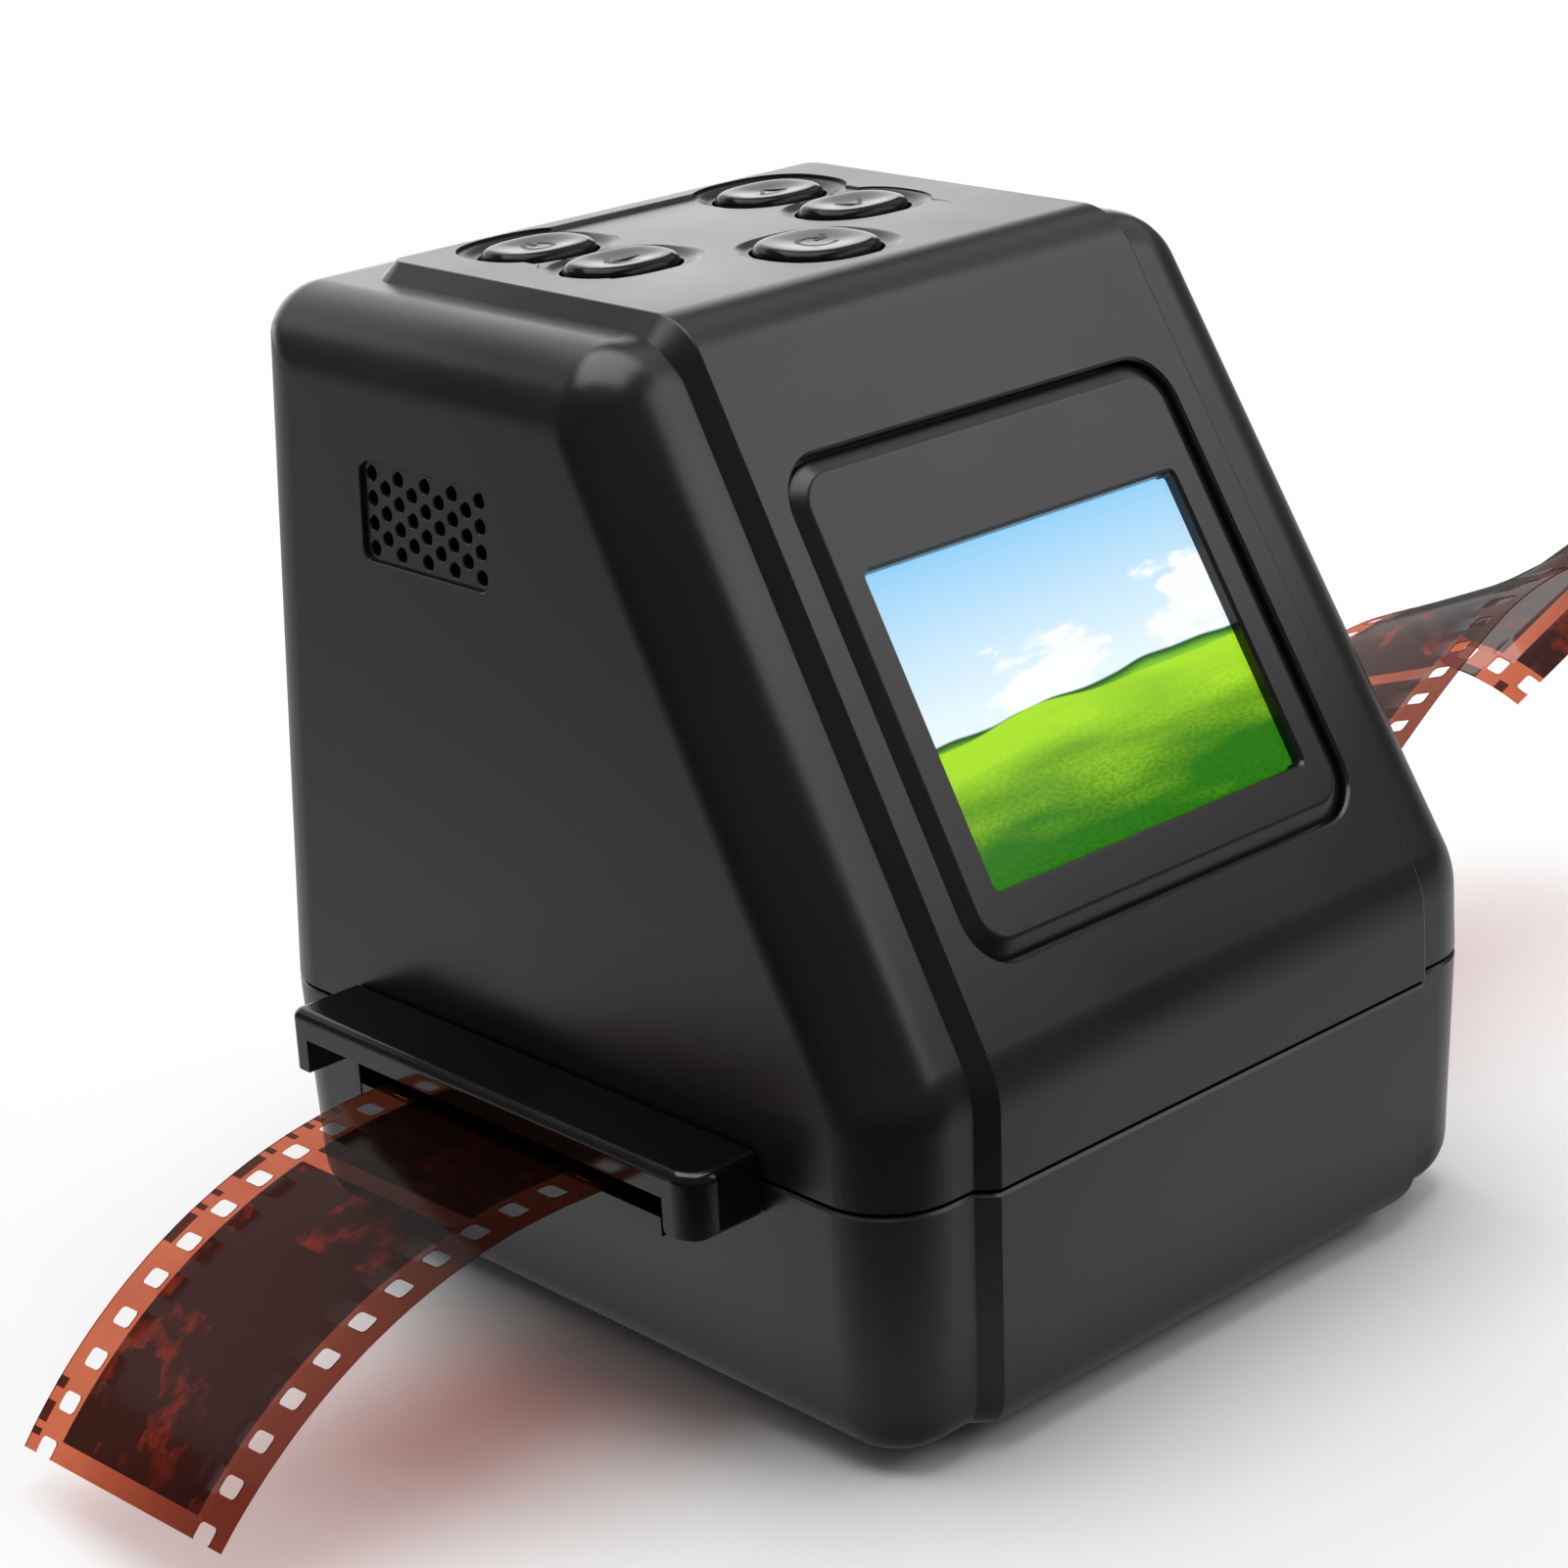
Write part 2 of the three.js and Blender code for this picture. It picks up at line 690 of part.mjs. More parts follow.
function makeBaseShell() {
  const rim = seamHeight - fit / 2;
  const outside = tubBlock(0, 0, rim);
  const inside = tubBlock(wall, base.floor, rim + overrun);
  const posts = postPlaces.map(([x, y]) => bar(x, y, base.floor - fit, rim, post.radius, smallSides));
  const postX = caseWidth / 2 - trackPost.sideMargin;
  const postRows = [trackFront + trackPost.endMargin, trackRear - trackPost.endMargin];
  const trackPosts = [-postX, postX].flatMap((x) => postRows.map((y) =>
    bar(x, y, base.floor - fit, track.bedBottom - fit, trackPost.radius, smallSides),
  ));
  const seats = footPlaces.map(([x, y]) => bar(x, y, -overrun, foot.seatDepth, foot.radius + fit));
  const shanks = postPlaces.map(([x, y]) => bar(x, y, -overrun, rim + overrun, pilot.radius, smallSides));
  const heads = postPlaces.map(([x, y]) => bar(x, y, -overrun, pilot.headDepth, pilot.headRadius));
  const built = join([outside.subtract(inside), join([...posts, ...trackPosts]).intersect(outside)]);
  return cut(built, [...seats, ...shanks, ...heads, trackOpening()]);
}

// The screen

function makeBezel() {
  const shrink = (inset) => bezelOutline(-inset);
  const rings = [
    ringAt(shrink(0), -bezel.thick),
    ringAt(shrink(0), -bezel.lip),
    ringAt(shrink(bezel.bevel), bezel.crown),
  ];
  const opening = prism(windowOutline(0), -bezel.thick - overrun, bezel.crown + overrun);
  const plate = loft(rings).subtract(opening);
  return drafted(onSlant(plate));
}

// The display: a tray behind the bezel, with its cover glass lifted into the window
function makeLcdModule() {
  const top = -bezel.thick - fit;
  const tray = prism(lcdOutline(0), lcdBack, top - lcd.tray);
  const glass = prism(lcdOutline(-lcd.tray), lcdBack + lcd.tray, top);
  const cover = prism(windowOutline(-fit), lcdBack + lcd.tray, top + lcd.lift);
  return drafted(onSlant(join([tray, glass, cover])));
}

function makeLcdBoard() {
  const outline = roundedRectangle(0, screenMiddle, lcdBoard.width, lcdBoard.height, lcdBoard.bossInset);
  return drafted(onSlant(prism(outline, lcdBoardFront - lcdBoard.thick, lcdBoardFront)));
}

// The buttons

const buttonRoundShare = 0.44; // a button's corner radius as a share of its length
const shoulderSteps = 4;
const dishShares = [[0.2, 0.3], [0.3, 0.75], [0.41, 1]]; // inset of its length and fall of its depth

function makeButton(place) {
  const rim = pocketFloor(place.y) - button.seat;
  const flangeTop = ceiling - sliding;
  const flangeBottom = flangeTop - button.flangeThick;
  const rings = [ringAt(buttonOutline(place, 0), flangeBottom)];
  for (let i = 0; i <= shoulderSteps; i++) {
    const angle = (Math.PI / 2) * (i / shoulderSteps);
    const outline = buttonOutline(place, -button.crown * (1 - Math.cos(angle)));
    rings.push(ringAt(outline, rim + button.crown * Math.sin(angle)));
  }
  for (const [insetShare, fallShare] of dishShares) {
    const outline = buttonOutline(place, -place.size.length * insetShare);
    rings.push(ringAt(outline, rim + button.crown - button.dish * fallShare));
  }
  const cap = loft(rings);
  const flange = prism(buttonOutline(place, button.flange), flangeBottom, flangeTop);
  const stemBottom = flangeBottom - button.travel;
  const stem = bar(place.x, place.y, stemBottom, flangeTop, button.stemRadius, smallSides);
  return join([cap, flange, stem]);
}

// A silicone dome between the button's stem and the board
function makeDome(place) {
  const bottom = buttonBoardTop + fit / 2;
  const top = ceiling - sliding - button.flangeThick - button.travel - fit;
  return turned(place.x, place.y, [
    [0, top - dome.wall],
    [dome.neck - dome.wall, top - dome.wall],
    [dome.radius - dome.wall, bottom],
    [dome.radius, bottom],
    [dome.radius, bottom + dome.wall],
    [dome.neck, top],
    [0, top],
  ], smallSides);
}

function makeButtonBoard() {
  const half = buttonBoard.width / 2;
  return block(
    [-half, buttonBoardRear - buttonBoard.length, buttonBoardTop - buttonBoard.thick],
    [half, buttonBoardRear, buttonBoardTop],
  );
}

// The film track

const gateCut = (z0, z1) => block(
  [-gate.width / 2, filmMiddle - gate.length / 2, z0],
  [gate.width / 2, filmMiddle + gate.length / 2, z1],
);
const ribFront = hoodRear - hood.ribSetback - hood.ribLength;
const trackRight = caseWidth / 2 + track.rightReach;

function makeTrackBed() {
  const wallX = -caseWidth / 2;
  const plate = block([wallX, trackFront, track.bedBottom], [trackRight, trackRear, track.bedTop]);
  const lipFront = hoodFront + hood.blockLength + fit;
  const lipRear = ribFront - fit;
  const lip = block([hoodOuter, lipFront, track.bedBottom], [wallX - fit, lipRear, track.bedTop]);
  const bridge = block([hoodOuter, trackFront, track.bedBottom], [wallX + fit, lipRear, track.bedTop]);
  const railTop = track.plateBottom - fit;
  const rails = [-1, 1].map((side) => {
    const inner = filmMiddle + side * (film.width / 2 + sliding);
    const outer = inner + side * track.rail;
    const low = Math.min(inner, outer);
    const high = Math.max(inner, outer);
    return block([wallX, low, track.bedBottom], [trackRight, high, railTop]);
  });
  return join([plate, lip, bridge, ...rails]).subtract(gateCut(track.bedBottom - overrun, railTop + overrun));
}

// The upper half of the track, with the hooded bracket that shows outside the left wall
function makeTrackHood() {
  const inner = -caseWidth / 2 - fit;
  const bracketPlan = (inset) => {
    const points = [[inner, hoodFront + inset], [inner, hoodRear - inset]];
    for (const [y, sign, round] of [[hoodRear, 1, hood.rearRound], [hoodFront, -1, hood.frontRound]]) {
      for (let i = 0; i <= cornerSteps; i++) {
        const angle = (Math.PI / 2) * (sign > 0 ? 1 + i / cornerSteps : 2 + i / cornerSteps);
        points.push([
          hoodOuter + round + (round - inset) * Math.cos(angle),
          y - sign * round + (round - inset) * Math.sin(angle),
        ]);
      }
    }
    return points;
  };
  const rings = [ringAt(bracketPlan(0), hood.blockBottom)];
  for (let i = 0; i <= cornerSteps; i++) {
    const angle = (Math.PI / 2) * (i / cornerSteps);
    const inset = hood.edgeRound * (1 - Math.cos(angle));
    rings.push(ringAt(bracketPlan(inset), hood.top - hood.edgeRound * (1 - Math.sin(angle))));
  }
  const shell = loft(rings);
  const under = (y0, y1, z0, z1) => block([hoodOuter - overrun, y0, z0], [inner + overrun, y1, z1]);
  const floor = hood.blockBottom - overrun;
  const hollows = [
    under(hoodFront + hood.blockLength, ribFront, floor, hood.underside),
    under(ribFront + hood.ribLength, hoodRear - hood.legLength, floor, hood.underside),
    under(ribFront - overrun, hoodRear + overrun, floor, hood.legBottom),
  ];
  const plate = block(
    [inner - hood.tongue, trackFront, track.plateBottom],
    [trackRight, trackRear, track.plateTop],
  );
  const body = cut(shell, hollows).add(plate);
  return body.subtract(gateCut(track.plateBottom - overrun, track.plateTop + overrun));
}

// The film strip

const leftStretches = ["droop"];
const rightStretches = ["lift", "climb", "crest", "fall", "end"];

// The stretches of one half of the strip, in order from the gate
function stretchesOf(half, names) {
  const curled = names.map((name) => ({
    run: half[name],
    bend: half[`${name}Angle`],
    twist: half[`${name}TwistAngle`],
  }));
  return [{ run: half.straight, bend: 0, twist: 0 }, ...curled];
}

const halfRun = (stretches) => stretches.reduce((sum, stretch) => sum + stretch.run, 0);

// The stretch of the strip that a distance from the gate falls in
function stretchAt(stretches, distance) {
  let end = 0;
  for (const stretch of stretches) {
    end += stretch.run;
    if (distance < end) return stretch;
  }
  return stretches[stretches.length - 1];
}

// Follows the strip outwards from the gate, and gives its middle, its cross direction and its
// upward direction at each of the distances
function walk(stretches, direction, distances) {
  const place = new THREE.Vector3(0, filmMiddle, film.height);
  const along = new THREE.Vector3(direction, 0, 0);
  const across = new THREE.Vector3(0, 1, 0);
  const up = new THREE.Vector3(0, 0, 1);
  const turn = (moving, towards, angle) => {
    const kept = moving.clone();
    moving.multiplyScalar(Math.cos(angle)).addScaledVector(towards, Math.sin(angle));
    towards.multiplyScalar(Math.cos(angle)).addScaledVector(kept, -Math.sin(angle));
  };
  let done = 0;
  return distances.map((distance) => {
    const step = distance - done;
    const stretch = stretchAt(stretches, (distance + done) / 2);
    const share = step / stretch.run;
    place.addScaledVector(along, step / 2);
    turn(along, up, THREE.MathUtils.degToRad(stretch.bend) * share);
    place.addScaledVector(along, step / 2);
    turn(across, up, THREE.MathUtils.degToRad(stretch.twist) * share);
    done = distance;
    return { place: place.clone(), across: across.clone(), up: up.clone() };
  });
}

// Both ends are cut through a pair of holes, close to the holes' outer edges
function filmStations() {
  const left = stretchesOf(leftHalf, leftStretches);
  const right = stretchesOf(rightHalf, rightStretches);
  const start = -halfRun(left);
  const pitches = Math.round((halfRun(right) - start - 2 * film.cut) / film.pitch);
  const end = start + pitches * film.pitch + 2 * film.cut;
  const edges = [];
  for (let n = 0; n <= pitches; n++) {
    const middle = start + film.cut + n * film.pitch;
    edges.push(Math.max(start, middle - film.holeLength / 2));
    edges.push(Math.min(end, middle + film.holeLength / 2));
  }
  const leftwards = edges.filter((edge) => edge < 0).map((edge) => -edge).reverse();
  const rightwards = edges.filter((edge) => edge >= 0);
  return [...walk(left, -1, leftwards).reverse(), ...walk(right, 1, rightwards)];
}

// A thin strip with a row of holes along each edge: every second step, the first included, has its
// pair of holes
function makeFilm() {
  const stations = filmStations();
  const half = film.width / 2;
  const holeOut = half - film.holeEdge;
  const holeIn = holeOut - film.holeWidth;
  const rows = [-half, -holeOut, -holeIn, holeIn, holeOut, half];
  const positions = [];
  for (const { place, across, up } of stations) {
    for (const side of [-1, 1]) {
      for (const row of rows) {
        const point = place.clone().addScaledVector(across, row).addScaledVector(up, (side * film.thick) / 2);
        positions.push(point.x, point.y, point.z);
      }
    }
  }
  const across = rows.length;
  const vertex = (station, top, row) => station * 2 * across + top * across + row;
  const steps = stations.length - 1;
  const columns = rows.length - 1;
  const isHole = (step, column) => step % 2 === 0 && (column === 1 || column === 3);
  const filled = (step, column) =>
    step >= 0 && step < steps && column >= 0 && column < columns && !isHole(step, column);
  const faces = [];
  const quad = (a, b, c, d) => faces.push(a, b, c, a, c, d);
  for (let s = 0; s < steps; s++) {
    for (let c = 0; c < columns; c++) {
      if (!filled(s, c)) continue;
      quad(vertex(s, 1, c), vertex(s + 1, 1, c), vertex(s + 1, 1, c + 1), vertex(s, 1, c + 1));
      quad(vertex(s, 0, c), vertex(s, 0, c + 1), vertex(s + 1, 0, c + 1), vertex(s + 1, 0, c));
      if (!filled(s, c - 1)) quad(vertex(s, 0, c), vertex(s + 1, 0, c), vertex(s + 1, 1, c), vertex(s, 1, c));
      if (!filled(s, c + 1)) {
        quad(vertex(s, 1, c + 1), vertex(s + 1, 1, c + 1), vertex(s + 1, 0, c + 1), vertex(s, 0, c + 1));
      }
      if (!filled(s - 1, c)) quad(vertex(s, 0, c), vertex(s, 1, c), vertex(s, 1, c + 1), vertex(s, 0, c + 1));
      if (!filled(s + 1, c)) {
        quad(vertex(s + 1, 0, c), vertex(s + 1, 0, c + 1), vertex(s + 1, 1, c + 1), vertex(s + 1, 1, c));
      }
    }
  }
  const geometry = new THREE.BufferGeometry();
  geometry.setAttribute("position", new THREE.Float32BufferAttribute(positions, 3));
  geometry.setIndex(faces);
  return solid(geometry);
}

// The light box under the gate

const boxFloor = base.floor + fit;
const boxTop = track.bedBottom - fit;
const boxBlock = (margin, z0, z1) => block(
  [-lightBox.width / 2 + margin, filmMiddle - lightBox.length / 2 + margin, z0],
  [lightBox.width / 2 - margin, filmMiddle + lightBox.length / 2 - margin, z1],
);
const diffuserBottom = boxTop - diffuserThick;

function makeLightBox() {
  const low = boxBlock(lightBox.wall + lightBox.ledge, boxFloor + lightBox.wall, boxTop);
  const high = boxBlock(lightBox.wall, diffuserBottom - fit, boxTop + overrun);
  return cut(boxBlock(0, boxFloor, boxTop), [low, high]);
}

function makeLedBoard() {
  const bottom = boxFloor + lightBox.wall + fit;
  const top = bottom + ledBoardThick;
  const board = boxBlock(lightBox.wall + lightBox.ledge + fit, bottom, top);
  const lamps = [];
  for (let column = 0; column < led.columns; column++) {
    for (let row = 0; row < led.rows; row++) {
      const x = (column - (led.columns - 1) / 2) * led.spacing;
      const y = filmMiddle + (row - (led.rows - 1) / 2) * led.spacing;
      const half = led.size / 2;
      lamps.push(block([x - half, y - half, bottom], [x + half, y + half, top + led.height]));
    }
  }
  return join([board, ...lamps]);
}

const makeDiffuser = () => boxBlock(lightBox.wall + fit, diffuserBottom, boxTop);

// The camera over the gate

const towerFoot = track.plateTop + fit;

function towerBlock(width, length, topWidth, topLength, z0, z1) {
  const ring = (w, l, z) => {
    const corners = [[w, -l], [w, l], [-w, l], [-w, -l]];
    return ringAt(corners.map(([x, y]) => [x / 2, filmMiddle + y / 2]), z);
  };
  return loft([ring(width, length, z0), ring(topWidth, topLength, z1)]);
}

function makeTower() {
  const flangeHalf = [tower.flangeWidth / 2, tower.flangeLength / 2];
  const flange = block(
    [-flangeHalf[0], filmMiddle - flangeHalf[1], towerFoot],
    [flangeHalf[0], filmMiddle + flangeHalf[1], towerFoot + tower.flangeThick],
  );
  const outside = towerBlock(
    tower.footWidth, tower.footLength, tower.topWidth, tower.topLength, towerFoot, tower.top,
  );
  const thin = 2 * tower.wall;
  const inside = towerBlock(
    tower.footWidth - thin, tower.footLength - thin,
    tower.topWidth - thin, tower.topLength - thin,
    towerFoot - overrun, tower.top - tower.wall,
  );
  const posts = [-1, 1].map((side) => {
    const x = side * (sensor.board / 2 - tower.postRadius);
    const postTop = tower.top + tower.postHeight;
    return bar(x, filmMiddle, tower.top - tower.wall, postTop, tower.postRadius, smallSides);
  });
  const bore = bar(0, filmMiddle, tower.top - tower.wall - overrun, tower.top + overrun, lens.radius + fit);
  return cut(join([flange, outside, ...posts]), [inside, bore]);
}

const lensFlangeBottom = tower.top + fit;
const lensBottom = lensFlangeBottom - lens.below;
const lensTop = lensFlangeBottom + lens.flangeThick + lens.above;
const glassBottom = lensBottom + lens.seat;

function makeLensBarrel() {
  const flangeTop = lensFlangeBottom + lens.flangeThick;
  const seatTop = glassBottom + lens.glassThick + fit;
  const throat = lens.bore - lens.seat;
  return turned(0, filmMiddle, [
    [lens.bore, lensBottom],
    [lens.radius, lensBottom],
    [lens.radius, lensFlangeBottom],
    [lens.flangeRadius, lensFlangeBottom],
    [lens.flangeRadius, flangeTop],
    [lens.radius, flangeTop],
    [lens.radius, lensTop],
    [throat, lensTop],
    [throat, seatTop],
    [lens.bore, seatTop],
    [lens.bore, lensBottom],
  ]);
}

function makeLensGlass() {
  const radius = lens.bore - fit;
  const bulge = lens.seat / 2;
  const top = glassBottom + lens.glassThick;
  return turned(0, filmMiddle, [
    [0, glassBottom],
    [radius / 2, glassBottom + bulge / 4],
    [radius, glassBottom + bulge],
    [radius, top - bulge],
    [radius / 2, top - bulge / 4],
    [0, top],
  ]);
}

function makeSensorBoard() {
  const bottom = tower.top + tower.postHeight + fit;
  const half = sensor.board / 2;
  const chip = sensor.chip / 2;
  const board = block(
    [-half, filmMiddle - half, bottom],
    [half, filmMiddle + half, bottom + sensor.boardThick],
  );
  return board.add(block(
    [-chip, filmMiddle - chip, bottom - sensor.chipThick],
    [chip, filmMiddle + chip, bottom + sensor.boardThick],
  ));
}

// The main board and its sockets

function makeMainBoard() {
  const half = mainBoard.width / 2;
  return block(
    [-half, boardFront, boardBottom],
    [half, boardFront + mainBoard.thick, boardTop],
  );
}

const socketFront = boardFront + mainBoard.thick + fit;
const socketRear = caseDepth - draftSlope * (socketHeight - seamHeight) - fit;

function socketBox({ x, width, height, skin, depth }) {
  const outer = (margin, y0, y1) => block(
    [x - width / 2 + margin, y0, socketHeight - height / 2 + margin],
    [x + width / 2 - margin, y1, socketHeight + height / 2 - margin],
  );
  return outer(0, socketFront, socketRear).subtract(outer(skin, socketRear - depth, socketRear + overrun));
}

function makeUsbSocket() {
  const half = usb.tongueWidth / 2;
  const thin = usb.tongueThick / 2;
  const tongue = block(
    [usb.x - half, socketRear - usb.depth - usb.skin, socketHeight - thin],
    [usb.x + half, socketRear - usb.skin, socketHeight + thin],
  );
  return socketBox(usb).add(tongue);
}

const makeCardSocket = () => socketBox(card);

// The speaker behind the grille
function makeSpeaker() {
  const inner = sideX(grilleHeight + speaker.radius) - wall;
  const frontFace = inner - fit - draftSlope * speaker.radius;
  const lathe = new THREE.LatheGeometry([
    [0, 0],
    [speaker.radius, 0],
    [speaker.radius, speaker.thick],
    [speaker.coneRadius, speaker.thick],
    [speaker.coneRadius / 2, speaker.thick - speaker.coneDepth],
    [0, speaker.thick - speaker.coneDepth],
  ].map(([r, h]) => new THREE.Vector2(r, h)), roundSides);
  lathe.rotateZ(Math.PI / 2);
  lathe.translate(-frontFace + speaker.thick, grilleMiddle, grilleHeight);
  return solid(lathe);
}

// Screws and feet

function makeScrew([x, y]) {
  const bottom = pilot.headDepth - fit - screw.headThick;
  const shoulder = bottom + screw.headThick;
  const driveTop = bottom + screw.recess;
  return turned(x, y, [
    [0, driveTop],
    [screw.driveRadius, bottom],
    [screw.headRadius, bottom],
    [screw.headRadius, shoulder],
    [screw.shankRadius, shoulder],
    [screw.shankRadius, bottom + screw.length],
    [0, bottom + screw.length + screw.shankRadius],
  ], smallSides);
}

function makeFoot([x, y]) {
  const taper = foot.stand / 2;
  return turned(x, y, [
    [0, -foot.stand],
    [foot.radius - taper, -foot.stand],
    [foot.radius, -taper],
    [foot.radius, foot.seatDepth - fit],
    [0, foot.seatDepth - fit],
  ]);
}

// Finishes

const finish = (color, roughness, metalness = 0) => ({ color, roughness, metalness });
const finishes = {
  satinBlack: finish(0x2e2d2c, 0.42),
  glossBlack: finish(0x121212, 0.12),
  screen: finish(0x7fb6d8, 0.1),
  board: finish(0x1f5a36, 0.5),
  silicone: finish(0xb8b8b4, 0.7),
  filmStock: finish(0x5a2113, 0.2),
  innerBlack: finish(0x1a1a1a, 0.7),
  lampBoard: finish(0xe4e4dc, 0.5),
  opal: finish(0xf2f2ee, 0.4),
  glass: finish(0xbcd0dc, 0.05),
  steel: finish(0xa8a9ac, 0.3, 1),
  rubber: finish(0x171717, 0.9),
};

function piece(name, shape, look) {
  const mesh = new THREE.Mesh(geometryOf(shape), new THREE.MeshStandardMaterial(look));
  mesh.name = name;
  return mesh;
}

const cornerNames = ["left_front", "left_rear", "right_front", "right_rear"];

const assembly = new THREE.Group();
assembly.position.y = -caseDepth / 2;
assembly.add(
  piece("upper_shell", makeUpperShell(), finishes.satinBlack),
  piece("base_shell", makeBaseShell(), finishes.satinBlack),
  piece("screen_bezel", makeBezel(), finishes.satinBlack),
  piece("lcd_module", makeLcdModule(), finishes.screen),
  piece("lcd_board", makeLcdBoard(), finishes.board),
  piece("button_board", makeButtonBoard(), finishes.board),
  piece("film_track_bed", makeTrackBed(), finishes.satinBlack),
  piece("film_track_hood", makeTrackHood(), finishes.satinBlack),
  piece("film_strip", makeFilm(), finishes.filmStock),
  piece("light_box", makeLightBox(), finishes.opal),
  piece("led_board", makeLedBoard(), finishes.lampBoard),
  piece("light_diffuser", makeDiffuser(), finishes.opal),
  piece("camera_tower", makeTower(), finishes.innerBlack),
  piece("lens_barrel", makeLensBarrel(), finishes.innerBlack),
  piece("lens_glass", makeLensGlass(), finishes.glass),
  piece("sensor_board", makeSensorBoard(), finishes.board),
  piece("main_board", makeMainBoard(), finishes.board),
  piece("usb_socket", makeUsbSocket(), finishes.steel),
  piece("card_socket", makeCardSocket(), finishes.steel),
  piece("speaker", makeSpeaker(), finishes.innerBlack),
);
for (const place of buttonPlaces) {
  assembly.add(
    piece(`${place.name}_button`, makeButton(place), finishes.glossBlack),
    piece(`${place.name}_dome`, makeDome(place), finishes.silicone),
  );
}
cornerNames.forEach((corner, i) => {
  assembly.add(
    piece(`case_screw_${corner}`, makeScrew(postPlaces[i]), finishes.steel),
    piece(`foot_${corner}`, makeFoot(footPlaces[i]), finishes.rubber),
  );
});

const scanner = new THREE.Group();
scanner.add(assembly);

export default scanner;
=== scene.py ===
# %% [markdown]
# # A desktop scanner for film negatives
# The scanner is a small black plastic case with a slanted front. A screen sits in the slant, five
# glossy buttons lie on top, and a strip of 35 mm negative runs through a track in the base.
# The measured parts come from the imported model. This lesson dresses them: it builds smoother outer
# pieces in the same places, paints every surface with nodes, and lights the scene like a small
# product studio. All sizes below are in millimetres, and become metres when a mesh is made.

import json
import math

import bmesh
import bpy
from mathutils import Matrix, Vector

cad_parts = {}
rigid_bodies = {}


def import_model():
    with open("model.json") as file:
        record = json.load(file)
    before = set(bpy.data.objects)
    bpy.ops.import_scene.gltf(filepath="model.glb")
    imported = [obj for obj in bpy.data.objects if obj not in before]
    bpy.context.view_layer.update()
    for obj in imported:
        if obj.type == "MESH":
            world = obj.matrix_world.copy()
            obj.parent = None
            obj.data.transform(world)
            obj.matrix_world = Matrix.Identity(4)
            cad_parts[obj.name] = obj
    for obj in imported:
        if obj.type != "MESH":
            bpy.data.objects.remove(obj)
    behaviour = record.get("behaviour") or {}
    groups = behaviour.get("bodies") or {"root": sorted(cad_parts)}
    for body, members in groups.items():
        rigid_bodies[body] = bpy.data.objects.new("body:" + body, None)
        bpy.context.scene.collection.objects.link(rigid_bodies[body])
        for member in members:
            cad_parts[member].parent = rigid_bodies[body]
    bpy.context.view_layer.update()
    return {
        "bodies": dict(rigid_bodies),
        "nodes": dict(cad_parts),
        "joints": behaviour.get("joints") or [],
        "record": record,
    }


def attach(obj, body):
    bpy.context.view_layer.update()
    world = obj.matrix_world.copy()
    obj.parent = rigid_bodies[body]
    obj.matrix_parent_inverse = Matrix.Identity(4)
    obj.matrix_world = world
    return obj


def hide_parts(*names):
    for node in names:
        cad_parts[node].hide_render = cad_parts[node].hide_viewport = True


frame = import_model()

# %% [markdown]
# The camera stands at the left front corner, a little above the scanner, and leans by a few
# degrees, as a hand-held product shot does. Its place was worked out from straight edges of the
# case, so it is written as angles and a distance around the point that it looks at.

# %% Place the camera
mm = 0.001
camera_target = Vector((3.19, 16.72, 42.1)) * mm
camera_distance = 410 * mm
camera_azimuth = math.radians(-42.38)
camera_elevation = math.radians(20.24)
camera_roll = math.radians(-3.09)

backward = Vector((
    math.sin(camera_azimuth) * math.cos(camera_elevation),
    -math.cos(camera_azimuth) * math.cos(camera_elevation),
    math.sin(camera_elevation),
))
level = Vector((math.cos(camera_azimuth), math.sin(camera_azimuth), 0))
upward = backward.cross(level)
right = level * math.cos(camera_roll) + upward * math.sin(camera_roll)
top = upward * math.cos(camera_roll) - level * math.sin(camera_roll)

camera_data = bpy.data.cameras.new("studio_camera")
camera_data.sensor_width = 36
camera_data.lens = 86.39
camera = bpy.data.objects.new("studio_camera", camera_data)
bpy.context.scene.collection.objects.link(camera)
turned = Matrix((right, top, backward)).transposed().to_4x4()
camera.matrix_world = Matrix.Translation(camera_target + backward * camera_distance) @ turned
bpy.context.scene.camera = camera
print("camera at", [round(v, 4) for v in camera.matrix_world.translation])

# %% [markdown]
# These are the sizes of the real case: its outline, the seam between its two shells, the raised
# band down the middle and the corner radii. Depths are counted from the front of the band, and
# heights from the underside of the base, as a designer would dimension the drawing.

# %% Sizes of the case
case_width, case_depth, case_height = 89.2, 96.7, 103.9
seam_height, seam_gap = 27.1, 0.3
wall, side_round, draft_slope = 2.0, 8.3, 0.038
band_width, band_rise, band_rear_setback, band_sink, band_corner_round = 63.5, 1.8, 11.5, 0.8, 2.0
kink_height, top_length = 37.7, 54.7
kink_round, brow_round, rear_round, least_round = 12.2, 7.4, 6.5, 1.5
base_floor, base_edge_round, base_draft_slope = 2.2, 5.8, 0.036
film_setback = 0.75  # how far the film's middle lies behind the middle of the case
fit, sliding, overrun, undercut = 0.3, 0.35, 1.0, 10.0
soft_edge = 0.28  # the small bright edge that moulded corners have

slant_rise = case_height - kink_height
top_depth = case_depth - draft_slope * (case_height - seam_height)
slant_run = top_depth - top_length
slant_angle = math.atan2(slant_rise, slant_run)
band_foot = band_rise + band_sink
band_rear = top_depth + band_rise - band_rear_setback
film_middle = case_depth / 2 + film_setback


def narrowing(z):
    """How much narrower the case is at a height than at its seam."""
    return 1 - draft_slope * max(0.0, z - seam_height) / (case_width / 2)


print("the front slants at", round(math.degrees(slant_angle), 1), "degrees")

# %% [markdown]
# A mould maker describes such a case by its sections. The same idea works in Blender: a function
# gives a ring of points, and a loft joins ring after ring into a closed skin. It is exact, quick
# to change, and leaves even rows of faces, which take light better than a sculpted block would.

